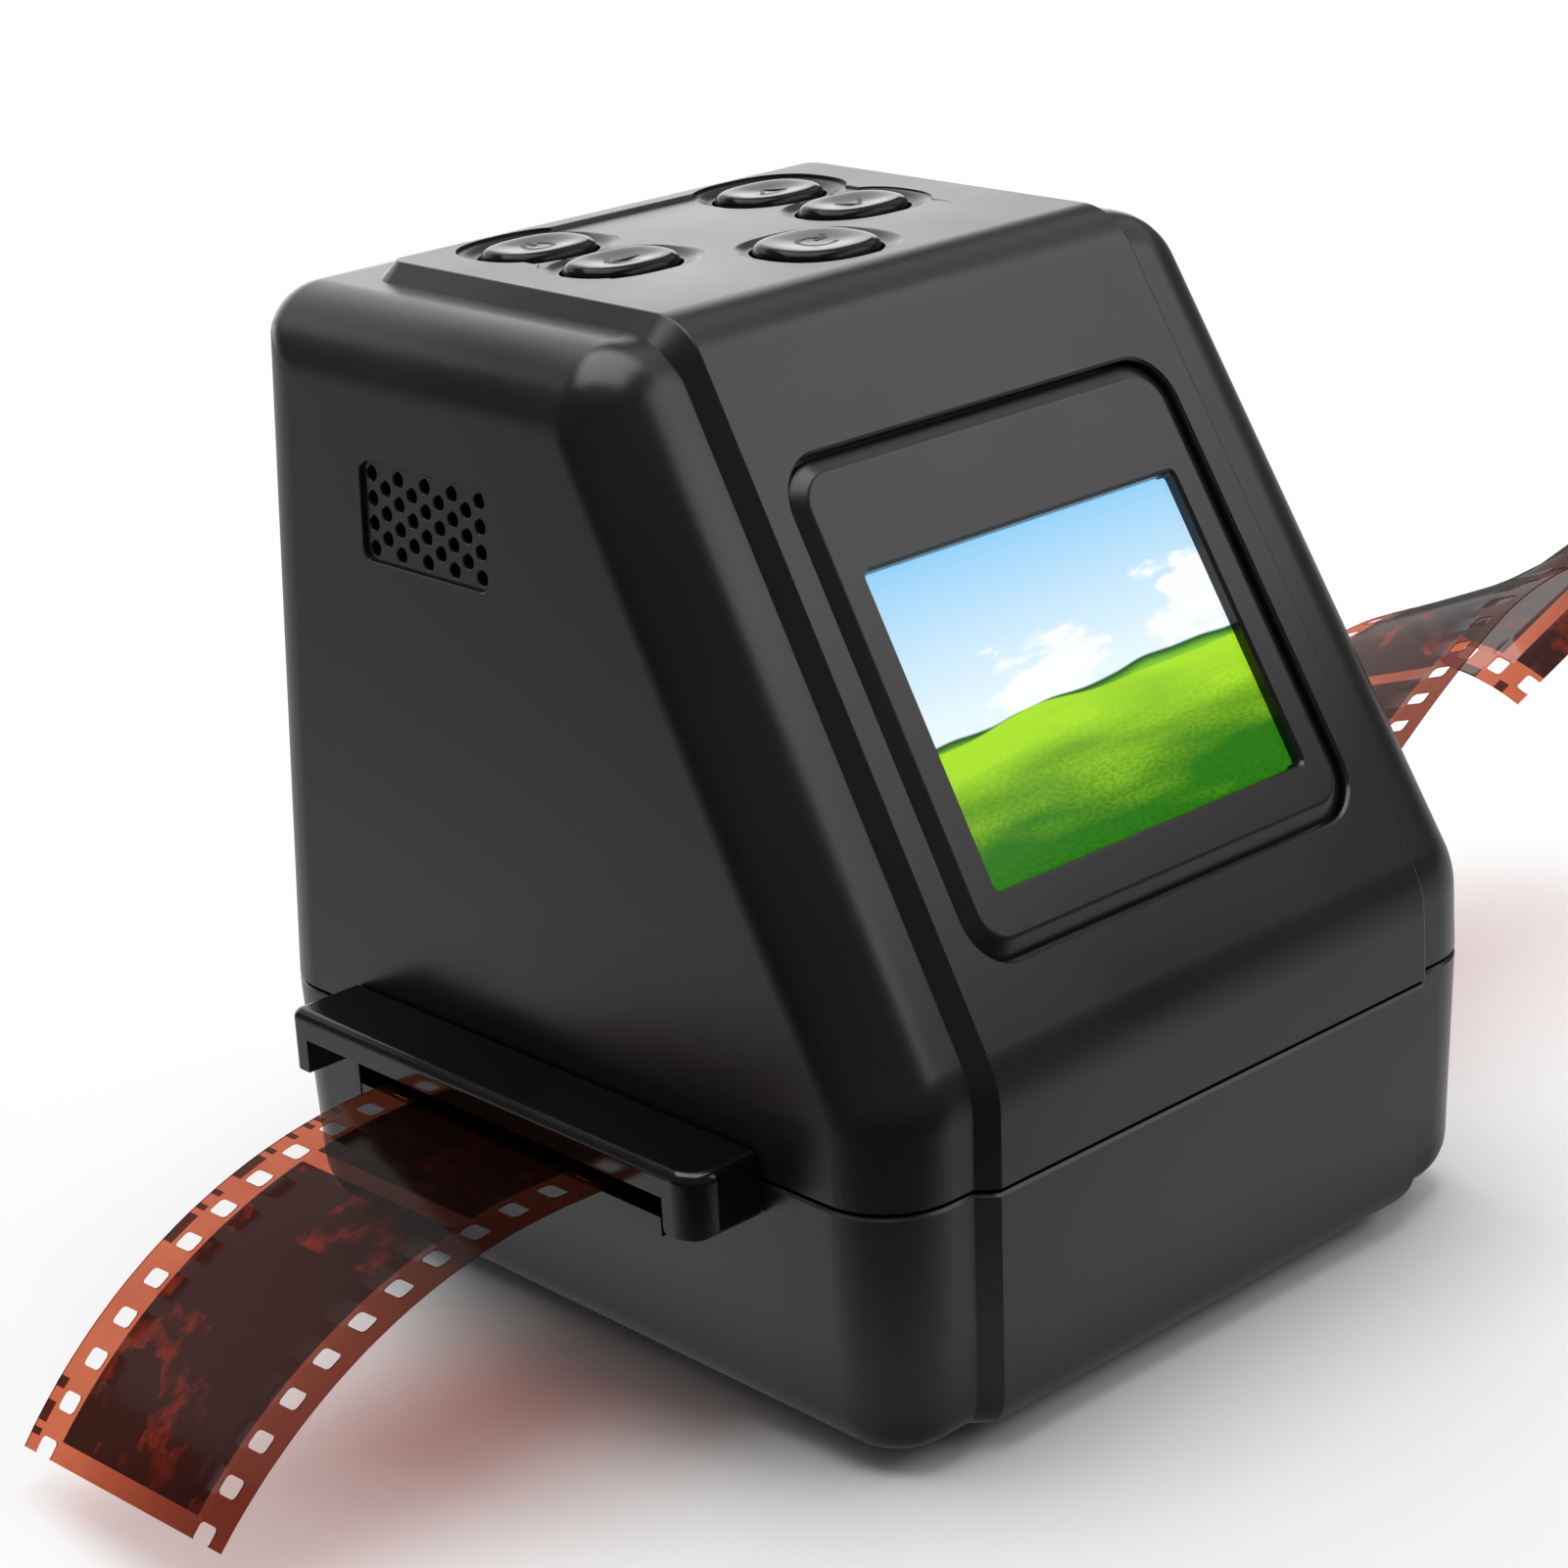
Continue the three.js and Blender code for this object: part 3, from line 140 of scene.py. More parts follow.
# %% Loft rings into closed shapes
def loft(rings):
    """A closed skin through rings that have the same number of points."""
    count = len(rings[0])
    points = [Vector(p) for ring in rings for p in ring]
    faces = []
    for row in range(len(rings) - 1):
        for i in range(count):
            here = row * count + i
            after = row * count + (i + 1) % count
            faces.append((here, after, after + count, here + count))
    faces.append(tuple(range(count))[::-1])
    faces.append(tuple(range(len(points) - count, len(points))))
    volume = sum(
        points[face[0]].dot(points[face[i]].cross(points[face[i + 1]]))
        for face in faces
        for i in range(1, len(face) - 1)
    )
    if volume < 0:
        faces = [face[::-1] for face in faces]
    return points, faces


def ring_at(outline, z):
    return [(x, y, z) for x, y in outline]


def prism(outline, low, high):
    return loft([ring_at(outline, low), ring_at(outline, high)])


def block(low, high):
    (x0, y0, z0), (x1, y1, z1) = low, high
    return prism([(x0, y0), (x1, y0), (x1, y1), (x0, y1)], z0, z1)


# %% Outlines with round corners
quarter_turn = math.pi / 2


def arc(cx, cy, radius, start, turn, steps):
    angles = [start + turn * i / steps for i in range(steps + 1)]
    return [(cx + radius * math.cos(a), cy + radius * math.sin(a)) for a in angles]


def quarter_round(radius, steps):
    """For each step over a rounded edge: how far it lies in from the side, and from the top."""
    return [(radius - x, radius - y) for x, y in arc(0, 0, radius, 0, quarter_turn, steps)]


def circle(cx, cy, radius, count=32):
    return arc(cx, cy, radius, 0, 4 * quarter_turn, count)[:-1]


def rounded_rectangle(cx, cy, width, length, radius, steps=8):
    points = []
    for quarter, (sx, sy) in enumerate([(1, 1), (-1, 1), (-1, -1), (1, -1)]):
        x, y = cx + sx * (width / 2 - radius), cy + sy * (length / 2 - radius)
        points += arc(x, y, radius, quarter * quarter_turn, quarter_turn, steps)
    return points


def superellipse(cx, cy, half_width, half_length, power, count=72):
    """An oval with fuller corners than an ellipse."""
    points = []
    for c, s in circle(0, 0, 1, count):
        points.append((
            cx + half_width * math.copysign(abs(c) ** (2 / power), c),
            cy + half_length * math.copysign(abs(s) ** (2 / power), s),
        ))
    return points


# %% Shapes moved as a whole
def moved(shape, change):
    """The same shape with every point changed by a function."""
    points, faces = shape
    return [Vector(change(p)) for p in points], faces


def on_slant(shape):
    """Lays a shape modelled flat, x across and y up the slant, on the slanted front."""
    c, s = math.cos(slant_angle), math.sin(slant_angle)

    def lay(p):
        y = p.y * c - p.z * s
        z = kink_height + p.y * s + p.z * c
        return p.x * narrowing(z), y, z

    return moved(shape, lay)


def merged(shapes):
    """Several separate closed shapes as one, so that they can be cut in one step."""
    points, faces = [], []
    for shape_points, shape_faces in shapes:
        start = len(points)
        points += shape_points
        faces += [tuple(i + start for i in face) for face in shape_faces]
    return points, faces


# %% [markdown]
# Moulded plastic is smooth over its rounds and crisp at its corners. Each mesh is shaded smooth,
# its sharp edges are marked by angle, and a Weighted Normal modifier keeps the large flat walls
# flat, so that a reflection runs straight across them.

# %% Turn shapes into pieces
sharp_angle = math.radians(32)
to_middle = Vector((0, -case_depth / 2, 0))  # depths are counted from the front, the part's from its middle


def new_object(name, shape):
    points, faces = shape
    mesh = bpy.data.meshes.new(name)
    mesh.from_pydata([(p + to_middle) * mm for p in points], [], faces)
    mesh.validate()
    made = bpy.data.objects.new(name, mesh)
    bpy.context.scene.collection.objects.link(made)
    return made


def apply_modifiers(piece):
    depsgraph = bpy.context.evaluated_depsgraph_get()
    mesh = bpy.data.meshes.new_from_object(piece.evaluated_get(depsgraph))
    old = piece.data
    piece.modifiers.clear()
    piece.data = mesh
    bpy.data.meshes.remove(old)


def combine(piece, tool, operation):
    modifier = piece.modifiers.new("combine", "BOOLEAN")
    modifier.operation = operation
    modifier.solver = "EXACT"
    modifier.object = tool
    apply_modifiers(piece)
    bpy.data.objects.remove(tool)


def cut(piece, *shapes):
    for shape in shapes:
        combine(piece, new_object("tool", shape), "DIFFERENCE")


def join(piece, *shapes):
    for shape in shapes:
        combine(piece, new_object("tool", shape), "UNION")


# %% Smooth a piece and give it its finish
def smooth(piece, edge=0.0, segments=3):
    """Rounds a simple piece's edges a little if asked, and shades it as moulded plastic."""
    if edge:
        bevel = piece.modifiers.new("edges", "BEVEL")
        bevel.width = edge * mm
        bevel.segments = segments
        bevel.limit_method = "ANGLE"
        bevel.angle_limit = sharp_angle
        bevel.use_clamp_overlap = True
        apply_modifiers(piece)
    piece.data.shade_smooth()
    piece.data.set_sharp_from_angle(angle=sharp_angle)
    weighted = piece.modifiers.new("flat walls", "WEIGHTED_NORMAL")
    weighted.keep_sharp = True


def finish_piece(piece, material, body="case", nodes=()):
    """Gives a piece its finish, lets it ride on a body, and hides the CAD nodes that it stands for."""
    piece.data.materials.clear()
    piece.data.materials.append(material)
    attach(piece, body)
    if nodes:
        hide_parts(*nodes)
    print(piece.name, "faces:", len(piece.data.polygons))


# %% [markdown]
# Node materials are small programs, and most of their nodes do sums. So what a node gives is
# wrapped as a value that can be added, multiplied and compared with the usual signs, and each
# sign adds one Math node. That reads better than a long list of nodes and links.

# %% Reckon with nodes
class Value:
    """What a node gives, to be reckoned with like a number."""

    def __init__(self, nodes, socket):
        self.nodes, self.socket = nodes, socket

    def reckon(self, operation, *others):
        return self.nodes.add("Math", enumerate((self, *others)), operation=operation)

    def __add__(self, other):
        return self.reckon("ADD", other)

    def __sub__(self, other):
        return self.reckon("SUBTRACT", other)

    def __mul__(self, other):
        return self.reckon("MULTIPLY", other)

    def __lt__(self, other):
        return self.reckon("LESS_THAN", other)

    def __gt__(self, other):
        return self.reckon("GREATER_THAN", other)

    def __abs__(self):
        return self.reckon("ABSOLUTE")


# %% Add nodes and link them
class Nodes:
    """The nodes of a material or of the world, with short ways to add and link them."""

    def __init__(self, tree):
        self.tree = tree

    def wire(self, socket, value):
        """Links a socket to what a node gives, or sets it to a number or a colour."""
        if isinstance(value, Value):
            self.tree.links.new(value.socket, socket)
        elif socket.type == "RGBA":
            socket.default_value = (*value, 1)
        else:
            socket.default_value = value

    def add(self, kind, inputs=(), output=0, **settings):
        node = self.tree.nodes.new("ShaderNode" + kind)
        for key, value in settings.items():
            setattr(node, key, value)
        for key, value in dict(inputs).items():
            self.wire(node.inputs[key], value)
        return Value(self, node.outputs[output])

    def split(self, place):
        """The numbers that a place is made of."""
        first = self.add("SeparateXYZ", {"Vector": place})
        return [Value(self, socket) for socket in first.socket.node.outputs]

    def length(self, place):
        return self.add("VectorMath", {0: place}, "Value", operation="LENGTH")

    def stretched(self, place, scale, shift=(0, 0, 0), turn=0.0):
        inputs = {"Vector": place, "Location": shift, "Rotation": (0, 0, turn), "Scale": scale}
        return self.add("Mapping", inputs)

    def noise(self, where, scale, detail=3.0, roughness=0.5):
        inputs = {"Vector": where, "Scale": scale, "Detail": detail, "Roughness": roughness}
        return self.add("TexNoise", inputs, "Fac")

    def spread(self, value, low, high, from_low=0.3, from_high=0.7):
        """Maps one range onto another: unless told otherwise, the range of a noise."""
        inputs = {"From Min": from_low, "From Max": from_high, "To Min": low, "To Max": high}
        return self.add("MapRange", {"Value": value, **inputs})

    def mix(self, share, first, second):
        return self.add("Mix", {0: share, 6: first, 7: second}, 2, data_type="RGBA")

    def mix_shader(self, share, first, second):
        return self.add("MixShader", {0: share, 1: first, 2: second})

    def glow(self, strength, kind="Emission"):
        return self.add(kind, {"Color": (1, 1, 1), "Strength": strength})

    def ray(self, kind):
        return self.add("LightPath", output=kind)

    def show(self, shader, output="Material Output"):
        self.wire(self.tree.nodes[output].inputs["Surface"], shader)


# %% Start a material
class Finish(Nodes):
    """A new material with its main shader."""

    def __init__(self, name, colour, roughness, **others):
        self.material = bpy.data.materials.new(name)
        self.material.use_nodes = True
        super().__init__(self.material.node_tree)
        self.shader = self.tree.nodes["Principled BSDF"]
        self.body = Value(self, self.shader.outputs[0])
        for key, value in {"Base Color": colour, "Roughness": roughness, **others}.items():
            self.give(key, value)

    def give(self, key, value):
        self.wire(self.shader.inputs[key], value)

    def object_place(self):
        return self.add("TexCoord", output="Object")

    def bump(self, height, distance):
        self.give("Normal", self.add("Bump", {"Height": height, "Distance": distance, "Strength": 1.0}))


def grey(level, less_blue=0.0):
    return level, level, level - less_blue


# %% [markdown]
# The case is satin black ABS. A real moulding is never one flat black: the spark-eroded mould
# leaves a very fine grain, and handling leaves slightly glossier and duller patches. A fine noise
# drives a shallow bump for the grain, and a broad one drifts the roughness and the colour.

# %% Mix the plastics and the rubbers
patch_scale, patch_detail, grain_detail = 28.0, 4.0, 2.0


def plastic(name, dark, light, roughness, grain_size, grain_depth, drift=0.05, **others):
    """A finish between two shades, with a roughness that drifts and a grain given in millimetres."""
    finish = Finish(name, dark, roughness, **others)
    where = finish.object_place()
    patches = finish.noise(where, patch_scale, patch_detail)
    finish.give("Base Color", finish.mix(finish.spread(patches, 0.0, 1.0), dark, light))
    finish.give("Roughness", finish.spread(patches, roughness - drift, roughness + drift))
    finish.bump(finish.noise(where, 1 / (grain_size * mm), grain_detail), grain_depth * mm)
    return finish.material


satin_black = plastic("satin black plastic", grey(0.006), grey(0.009, 0.0002), 0.28, 0.22, 0.004)
track_black = plastic("track black plastic", grey(0.002), grey(0.004), 0.15, 0.25, 0.003)
gloss_black = plastic("gloss black plastic", grey(0.004), grey(0.006), 0.16, 0.9, 0.001, 0.02, IOR=1.25)
ink_black = plastic("ink black", grey(0.001), grey(0.002), 0.5, 0.3, 0.004)
inner_black = plastic("inner black plastic", grey(0.008), grey(0.012), 0.6, 0.3, 0.01)
foot_rubber = plastic("foot rubber", grey(0.01), grey(0.02), 0.8, 0.3, 0.03)
silicone = plastic("pale silicone", grey(0.5, 0.03), grey(0.6, 0.03), 0.6, 0.4, 0.01)
opal_plastic = plastic("opal plastic", grey(0.8, 0.02), grey(0.88, 0.02), 0.4, 0.5, 0.004)
lamp_board = plastic("white board", grey(0.72, 0.03), grey(0.8, 0.03), 0.45, 0.8, 0.004)
print("finishes:", [material.name for material in bpy.data.materials if material.use_nodes])

# %% [markdown]
# The outside of the case is made from side views. The front wall rises to a kink, leans back along
# the slant, turns over a rounded brow and runs to a rounded rear edge. Moving each edge inwards
# while stepping sideways gives the large soft rounds along both sides, as a rolling ball would.

# %% The case from the side
round_steps = 12
shoulder_round = side_round + band_rise  # beside the band, so that brow and sides meet in a ball


def add_corner(points, corner, from_angle, to_angle, radius, inset):
    middle = (from_angle + to_angle) / 2
    left = max(radius - inset, least_round)
    back = (inset + left) / math.cos((from_angle - to_angle) / 2)
    cy = corner[0] - back * math.cos(middle)
    cz = corner[1] - back * math.sin(middle)
    points += arc(cy, cz, left, from_angle, to_angle - from_angle, round_steps)


def side_outline(inset, brow):
    """The case from the side, as depths and heights, with every edge moved in by the inset."""
    slant_normal = quarter_turn + slant_angle
    rear = case_depth + band_rise - inset
    points = [(inset, -undercut), (inset, seam_height)]
    add_corner(points, (0, kink_height), math.pi, slant_normal, kink_round, inset)
    add_corner(points, (slant_run, case_height), slant_normal, quarter_turn, brow, inset)
    corner = (top_depth + band_rise, case_height)
    add_corner(points, corner, quarter_turn, math.atan(draft_slope), rear_round, inset)
    points += [(rear, seam_height), (rear, -undercut)]
    return points


def side_ring(x, outline):
    return [(x * narrowing(z), y, z) for y, z in outline]


def body_block(width, rounding, inset):
    """Side views from left to right, moved in where the sides round over."""
    steps = quarter_round(rounding, round_steps)
    places = [(-1, step) for step in reversed(steps)] + [(1, step) for step in steps]
    return loft([
        side_ring(side * (width / 2 - from_side), side_outline(inset + inwards, shoulder_round))
        for side, (inwards, from_side) in places
    ])


print("points in a side view:", len(side_outline(0, brow_round)))

# %% [markdown]
# The band down the middle stands a little proud of the case, with a soft crease and a bevel at
# each side. It is sliced like the case, and each slice lies further in down the bevel. Its rear
# end has the same bevel, and its rear corners are rounded by a cut that follows the bevel.

# %% The raised band
side_crease, crease_steps = 0.35, 4
rear_crease, crease_fall, toe = 0.2, 0.24, 0.1  # at the band's rear end, where it meets the top


def band_slices():
    """Where the band is sliced, with how far each slice lies in: flat, a soft crease, a bevel."""
    bevel_turn = quarter_turn / 2
    start = band_width / 2 - side_crease * math.tan(bevel_turn / 2)
    crease = arc(start, side_crease, side_crease, -quarter_turn, bevel_turn, crease_steps)
    return crease + [(band_width / 2 + band_foot, band_foot)]


def band_ring(x, inset):
    """The case's front and brow, then the band's rear end, and back inside the case."""
    rear, low = band_rear + inset, case_height - band_foot - wall
    kept = side_outline(inset, brow_round)[: 2 + 2 * (round_steps + 1)]
    kept += [(rear - rear_crease, case_height - inset)]
    kept += [(rear + rear_crease, case_height - inset - crease_fall)]
    kept += [(rear + band_foot, case_height - band_foot - toe), (rear + band_foot, low)]
    kept += [(slant_run + wall, low), (band_foot + wall, kink_height), (band_foot + wall, -undercut)]
    return side_ring(x, kept)


def band_block():
    slices = band_slices()
    rings = [band_ring(-x, inset) for x, inset in reversed(slices)]
    return loft(rings + [band_ring(x, inset) for x, inset in slices])


def band_corner(side):
    """What the round of a rear corner of the band takes off: -1 at the left, 1 at the right."""
    def ring(inset):
        radius = band_corner_round + inset
        cx, cy = band_width / 2 - band_corner_round, band_rear - band_corner_round
        far = radius + overrun
        points = [(cx, cy + far), (cx + far, cy + far), (cx + far, cy)]
        points += arc(cx, cy, radius, 0, quarter_turn, round_steps)
        z = case_height - inset
        return [(side * x * narrowing(z), y, z) for x, y in points]

    return loft([ring(band_foot + overrun), ring(-overrun)])


# %% The case from above
def plan_outline(inset):
    """The case from above at its seam, with the band's bevels."""
    points = []
    half = case_width / 2 - side_round
    flat = band_width / 2
    mitre = (math.sqrt(2) - 1) * inset
    corners = [
        (-half, band_rise + side_round, math.pi),
        (half, band_rise + side_round, -quarter_turn),
        (half, case_depth - side_round, 0),
        (-half, case_depth - side_round, quarter_turn),
    ]
    for number, (cx, cy, start) in enumerate(corners):
        points += arc(cx, cy, side_round - inset, start, quarter_turn, round_steps)
        if number == 0:
            points += [(-flat - band_rise + mitre, band_rise + inset), (-flat + mitre, inset)]
            points += [(flat - mitre, inset), (flat + band_rise - mitre, band_rise + inset)]
    return points


print("points seen from above:", len(plan_outline(0)))

# %% [markdown]
# The upper shell is a hollow moulding with many openings: the seat of the screen's bezel, the
# shallow pocket and holes of the buttons, the speaker grille, the slot of the film track and the
# two sockets in the rear. Each opening is cut with a tool that flares out where it meets the
# surface, so that its rim catches a thin line of light as a real moulded rim does.

# %% Openings for the screen
bezel_width, bezel_height, bezel_up, bezel_round, bezel_thick = 56.0, 50.7, 10.3, 5.1, 2.0
screen_width, screen_height, screen_up, screen_round = 45.7, 32.4, 16.6, 0.7
screen_middle = screen_up + screen_height / 2
lcd_width, lcd_height, lcd_thick, lcd_lift = 51.5, 38.5, 3.0, 1.3


def flared(outline_of, bottom, top_level, flare=soft_edge):
    """A cutting tool that widens towards the surface it comes out of."""
    return loft([
        ring_at(outline_of(0), bottom),
        ring_at(outline_of(0), top_level - flare),
        ring_at(outline_of(flare), top_level),
        ring_at(outline_of(flare + overrun), top_level + overrun),
    ])


def bezel_outline(margin):
    width, height = bezel_width + 2 * margin, bezel_height + 2 * margin
    middle = bezel_up + bezel_height / 2
    return rounded_rectangle(0, middle, width, height, bezel_round + margin, round_steps)


def window_outline(margin):
    width, height = screen_width + 2 * margin, screen_height + 2 * margin
    return rounded_rectangle(0, screen_middle, width, height, screen_round + margin)


def lcd_outline(margin):
    width, height = lcd_width + 2 * margin, lcd_height + 2 * margin
    return rounded_rectangle(0, screen_middle, width, height, screen_round)


# %% Openings for the buttons
pocket_width, pocket_length, pocket_margin, pocket_depth, pocket_round = 44.6, 29.3, 2.2, 0.45, 5.2
pocket_rear = band_rear - pocket_margin
pocket_front = pocket_rear - pocket_length
pocket_slope = pocket_depth / pocket_length
pocket_rim = [(0, -overrun), (0.12, -0.08), (0.3, 0.0), (0.6, overrun)]  # margins and levels
button_power = 2.5  # how full the buttons' oval corners are
button_spread, button_half, big_button_half = 16.2, (6.2, 4.6), (6.3, 5.9)
rear_row, middle_row, front_row = (pocket_rear - setback for setback in (5.3, 18.2, 29.5))
buttons = {
    "power": (-button_spread, rear_row, *button_half),
    "mirror": (-button_spread, middle_row, *button_half),
    "up": (button_spread, rear_row, *button_half),
    "down": (button_spread, middle_row, *button_half),
    "capture": (0.0, front_row, *big_button_half),
}
button_seat = 0.6  # how far the foot of a button stands below the pocket's floor
scoop_start, scoop_reach, scoop_lip, scoop_rise, scoop_steps = 0.3, 2.0, 0.1, 0.02, 8


def button_outline(place, margin):
    cx, cy, half_width, half_length = place
    return superellipse(cx, cy, half_width + margin, half_length + margin, button_power)


def pocket_floor(y):
    """The pocket's floor sinks towards the rear, and meets the top at its front."""
    return case_height - pocket_slope * max(0.0, y - pocket_front)


def pocket_tool():
    """The pocket as a tool whose rim widens upwards, and fades out where the floor meets the top."""
    length = pocket_length + overrun
    middle = pocket_rear - length / 2
    rings = []
    for margin, level in pocket_rim:
        width, reach = pocket_width + 2 * margin, length + 2 * margin
        outline = rounded_rectangle(0, middle, width, reach, pocket_round + margin)
        floors = [pocket_slope * (pocket_front - y) + margin / 4 for x, y in outline]
        rings.append([(x, y, case_height + max(level, floor)) for (x, y), floor in zip(outline, floors)])
    return loft(rings)


def scoop_tool(place):
    """A shallow oval hollow round a button, a little deeper than the pocket's floor."""
    floor = pocket_floor(place[1])
    rings = []
    for i in range(scoop_steps + 1):
        share = i / scoop_steps
        depth = button_seat * (1 + math.cos(math.pi * share)) / 2 - scoop_rise * share
        rings.append(ring_at(button_outline(place, scoop_start + scoop_reach * share), floor - depth))
    last = button_outline(place, scoop_start + scoop_reach + scoop_lip)
    return loft(rings + [ring_at(last, case_height + 4 * scoop_lip)])


# %% Openings in the sides and the rear
track_length, bed_bottom, plate_bottom, plate_top = 46.0, 22.95, 25.85, 28.25
track_front, track_rear = film_middle - track_length / 2, film_middle + track_length / 2
grille_middle, grille_height = film_middle + 16.2, case_height - 21.7
grille_width, grille_tall, grille_round, grille_sink, grille_flare = 19.5, 10.2, 1.2, 0.5, 0.12
grille_hole, column_pitch, row_pitch, grille_rows, grille_columns = 0.78, 4.2, 1.28, 7, 5
hole_rim = [(0, -wall - overrun), (0, -0.1), (0.16, 0.06), (0.16, 0.3)]  # margins and levels
socket_height = seam_height + 12.4
sockets = [(-16, 9, 3.4), (14, 27, 3.4)]  # middle, width and height of the power and card sockets


def onto_side(shape):
    """Turns a shape modelled flat onto the left side, where it follows the wall's draft."""
    def lay(p):
        z = grille_height + p.y
        return -(case_width / 2) * narrowing(z) - p.z, grille_middle - p.x, z

    return moved(shape, lay)


def grille_recess():
    def outline(margin):
        width, tall = grille_width + 2 * margin, grille_tall + 2 * margin
        return rounded_rectangle(0, 0, width, tall, grille_round + margin)

    return onto_side(flared(outline, -grille_sink, 0, grille_flare))


def grille_holes():
    """The 32 holes in the recess: every second row is staggered and one hole shorter."""
    holes = []
    for row in range(grille_rows):
        columns = grille_columns - row % 2
        for column in range(columns):
            x = (column - (columns - 1) / 2) * column_pitch
            y = (row - (grille_rows - 1) / 2) * row_pitch
            holes.append(onto_side(loft([
                ring_at(circle(x, y, grille_hole + margin, 16), height - grille_sink)
                for margin, height in hole_rim
            ])))
    return holes


def track_tool():
    reach = case_width / 2 + overrun
    low = (-reach, track_front - fit, bed_bottom - fit)
    return block(low, (reach, track_rear + fit, plate_top + fit))


def socket_tool(x, width, height):
    half_width, half_height = width / 2 + sliding, height / 2 + sliding
    front = case_depth - wall - band_rise - overrun
    low = (x - half_width, front, socket_height - half_height)
    return block(low, (x + half_width, case_depth + overrun, socket_height + half_height))


print("holes in the grille:", len(grille_holes()))

# %% Build the upper shell
upper_low = seam_height + seam_gap / 2
groove_slip = 0.03  # how far the groove's inner wall clears the case where it ends


def seam_groove():
    """A frame round the lower edge of the upper shell that trims its corner to a soft edge."""
    low, high = seam_height - overrun, upper_low + soft_edge
    outer = new_object("groove", prism(plan_outline(-2 * overrun), low, high))
    cut(outer, loft([
        ring_at(plan_outline(soft_edge), low - overrun),
        ring_at(plan_outline(soft_edge), upper_low),
        ring_at(plan_outline(-groove_slip), high + groove_slip),
    ]))
    return outer


upper = new_object("upper_shell_skin", body_block(case_width, side_round, band_rise))
band = new_object("band", band_block())
cut(band, band_corner(-1), band_corner(1))
combine(upper, band, "UNION")
reach = case_width + case_depth
cavity = body_block(case_width - 2 * wall, side_round - wall, band_rise + wall)
cut(upper, cavity, block((-reach, -reach, -reach), (reach, reach, upper_low)))
cut(upper, on_slant(flared(lambda m: bezel_outline(sliding + m), -bezel_thick - fit, 0)))
cut(upper, on_slant(prism(lcd_outline(fit), -bezel_thick - lcd_thick - overrun, -overrun)))
cut(upper, pocket_tool())
ceiling = case_height - band_rise - wall
for place in buttons.values():
    hole = prism(button_outline(place, sliding), ceiling - 2 * overrun, pocket_floor(place[1]))
    cut(upper, scoop_tool(place), hole)
cut(upper, grille_recess(), merged(grille_holes()), track_tool())
cut(upper, *[socket_tool(*socket) for socket in sockets])
combine(upper, seam_groove(), "DIFFERENCE")
smooth(upper)
finish_piece(upper, satin_black, nodes=["upper_shell"])

# %% [markdown]
# The base is a shallow tray with the same plan as the case above it. It is lofted upwards, from a
# rounded bottom edge to the thin softened rim at the seam, and then hollowed. The feet sit in round
# seats underneath, and the case screws come up through deep holes near the corners.

# %% Build the base shell
post_x, post_front, post_rear, post_radius = case_width / 2 - 10.1, 13.5, case_depth - 13.5, 3.4
foot_x, foot_front, foot_rear, foot_radius = case_width / 2 - 18.6, 12.0, case_depth - 12.0, 4.0
pilot_radius, pilot_head_radius, pilot_head_depth = 1.35, 2.6, 2.6
foot_stand, foot_seat = 1.0, 0.6
post_drop = 0.02  # how far the posts end below the rim


def four_places(x, near, far):
    return [(side * x, y) for side in (-1, 1) for y in (near, far)]


def bars(places, low, high, radius):
    return [prism(circle(x, y, radius), low, high) for x, y in places]


def tub(margin, bottom, rings_above):
    """The base as a tub: walls that lean in towards a rounded lower edge, then some given rings."""
    rings = []
    for rise, inwards in quarter_round(base_edge_round - margin, round_steps):
        z = bottom + rise
        lean = base_draft_slope * (seam_height - z)
        rings.append(ring_at(plan_outline(margin + lean + inwards), z))
    return loft(rings + [ring_at(plan_outline(margin + inset), z) for inset, z in rings_above])


post_places = four_places(post_x, post_front, post_rear)
foot_places = four_places(foot_x, foot_front, foot_rear)
rim = seam_height - seam_gap / 2
base = new_object("base_shell_skin", tub(0, 0, [(0, rim - soft_edge), (soft_edge, rim)]))
cut(base, tub(wall, base_floor, [(0, rim + overrun)]))
join(base, *bars(post_places, base_floor - fit, rim - post_drop, post_radius))
cut(
    base,
    merged(bars(post_places, -overrun, rim + overrun, pilot_radius)),
    merged(bars(post_places, -overrun, pilot_head_depth, pilot_head_radius)),
    merged(bars(foot_places, -overrun, foot_seat, foot_radius + fit)),
    track_tool(),
)
smooth(base)
finish_piece(base, satin_black, nodes=["base_shell"])

# %% [markdown]
# The bezel is a flat frame clipped into its seat in the slant. Its outer edge is bevelled, which
# draws the light line all round it, and its window drops straight down to the display.

# %% Build the bezel
bezel_lip, bezel_bevel, bezel_crown, bezel_softness = 0.9, 1.8, 0.2, 0.25
window_flare = 0.35


def bezel_shape():
    rings = [ring_at(bezel_outline(0), -bezel_thick), ring_at(bezel_outline(0), -bezel_lip)]
    for share in (0.0, 0.5, 1.0):
        inset = bezel_bevel + bezel_softness * (2 * share - 1)
        height = bezel_crown - bezel_softness / 2 * (1 - share) ** 2
        rings.append(ring_at(bezel_outline(-inset), height))
    return loft(rings)


bezel = new_object("screen_bezel_skin", on_slant(bezel_shape()))
cut(bezel, on_slant(flared(window_outline, -bezel_thick - overrun, bezel_crown, window_flare)))
smooth(bezel)
finish_piece(bezel, satin_black, nodes=["screen_bezel"])

# %% [markdown]
# The display shows a photograph as the scanner would preview it. The picture is generic and drawn
# by nodes alone: a pale sky with soft clouds over a far and a near hill of summer grass. The panel's
# UV map runs from 0 to 1 across the visible picture, so every place below is a share of the picture.
# The panel glows, and a low index of refraction keeps the gloss on it faint.

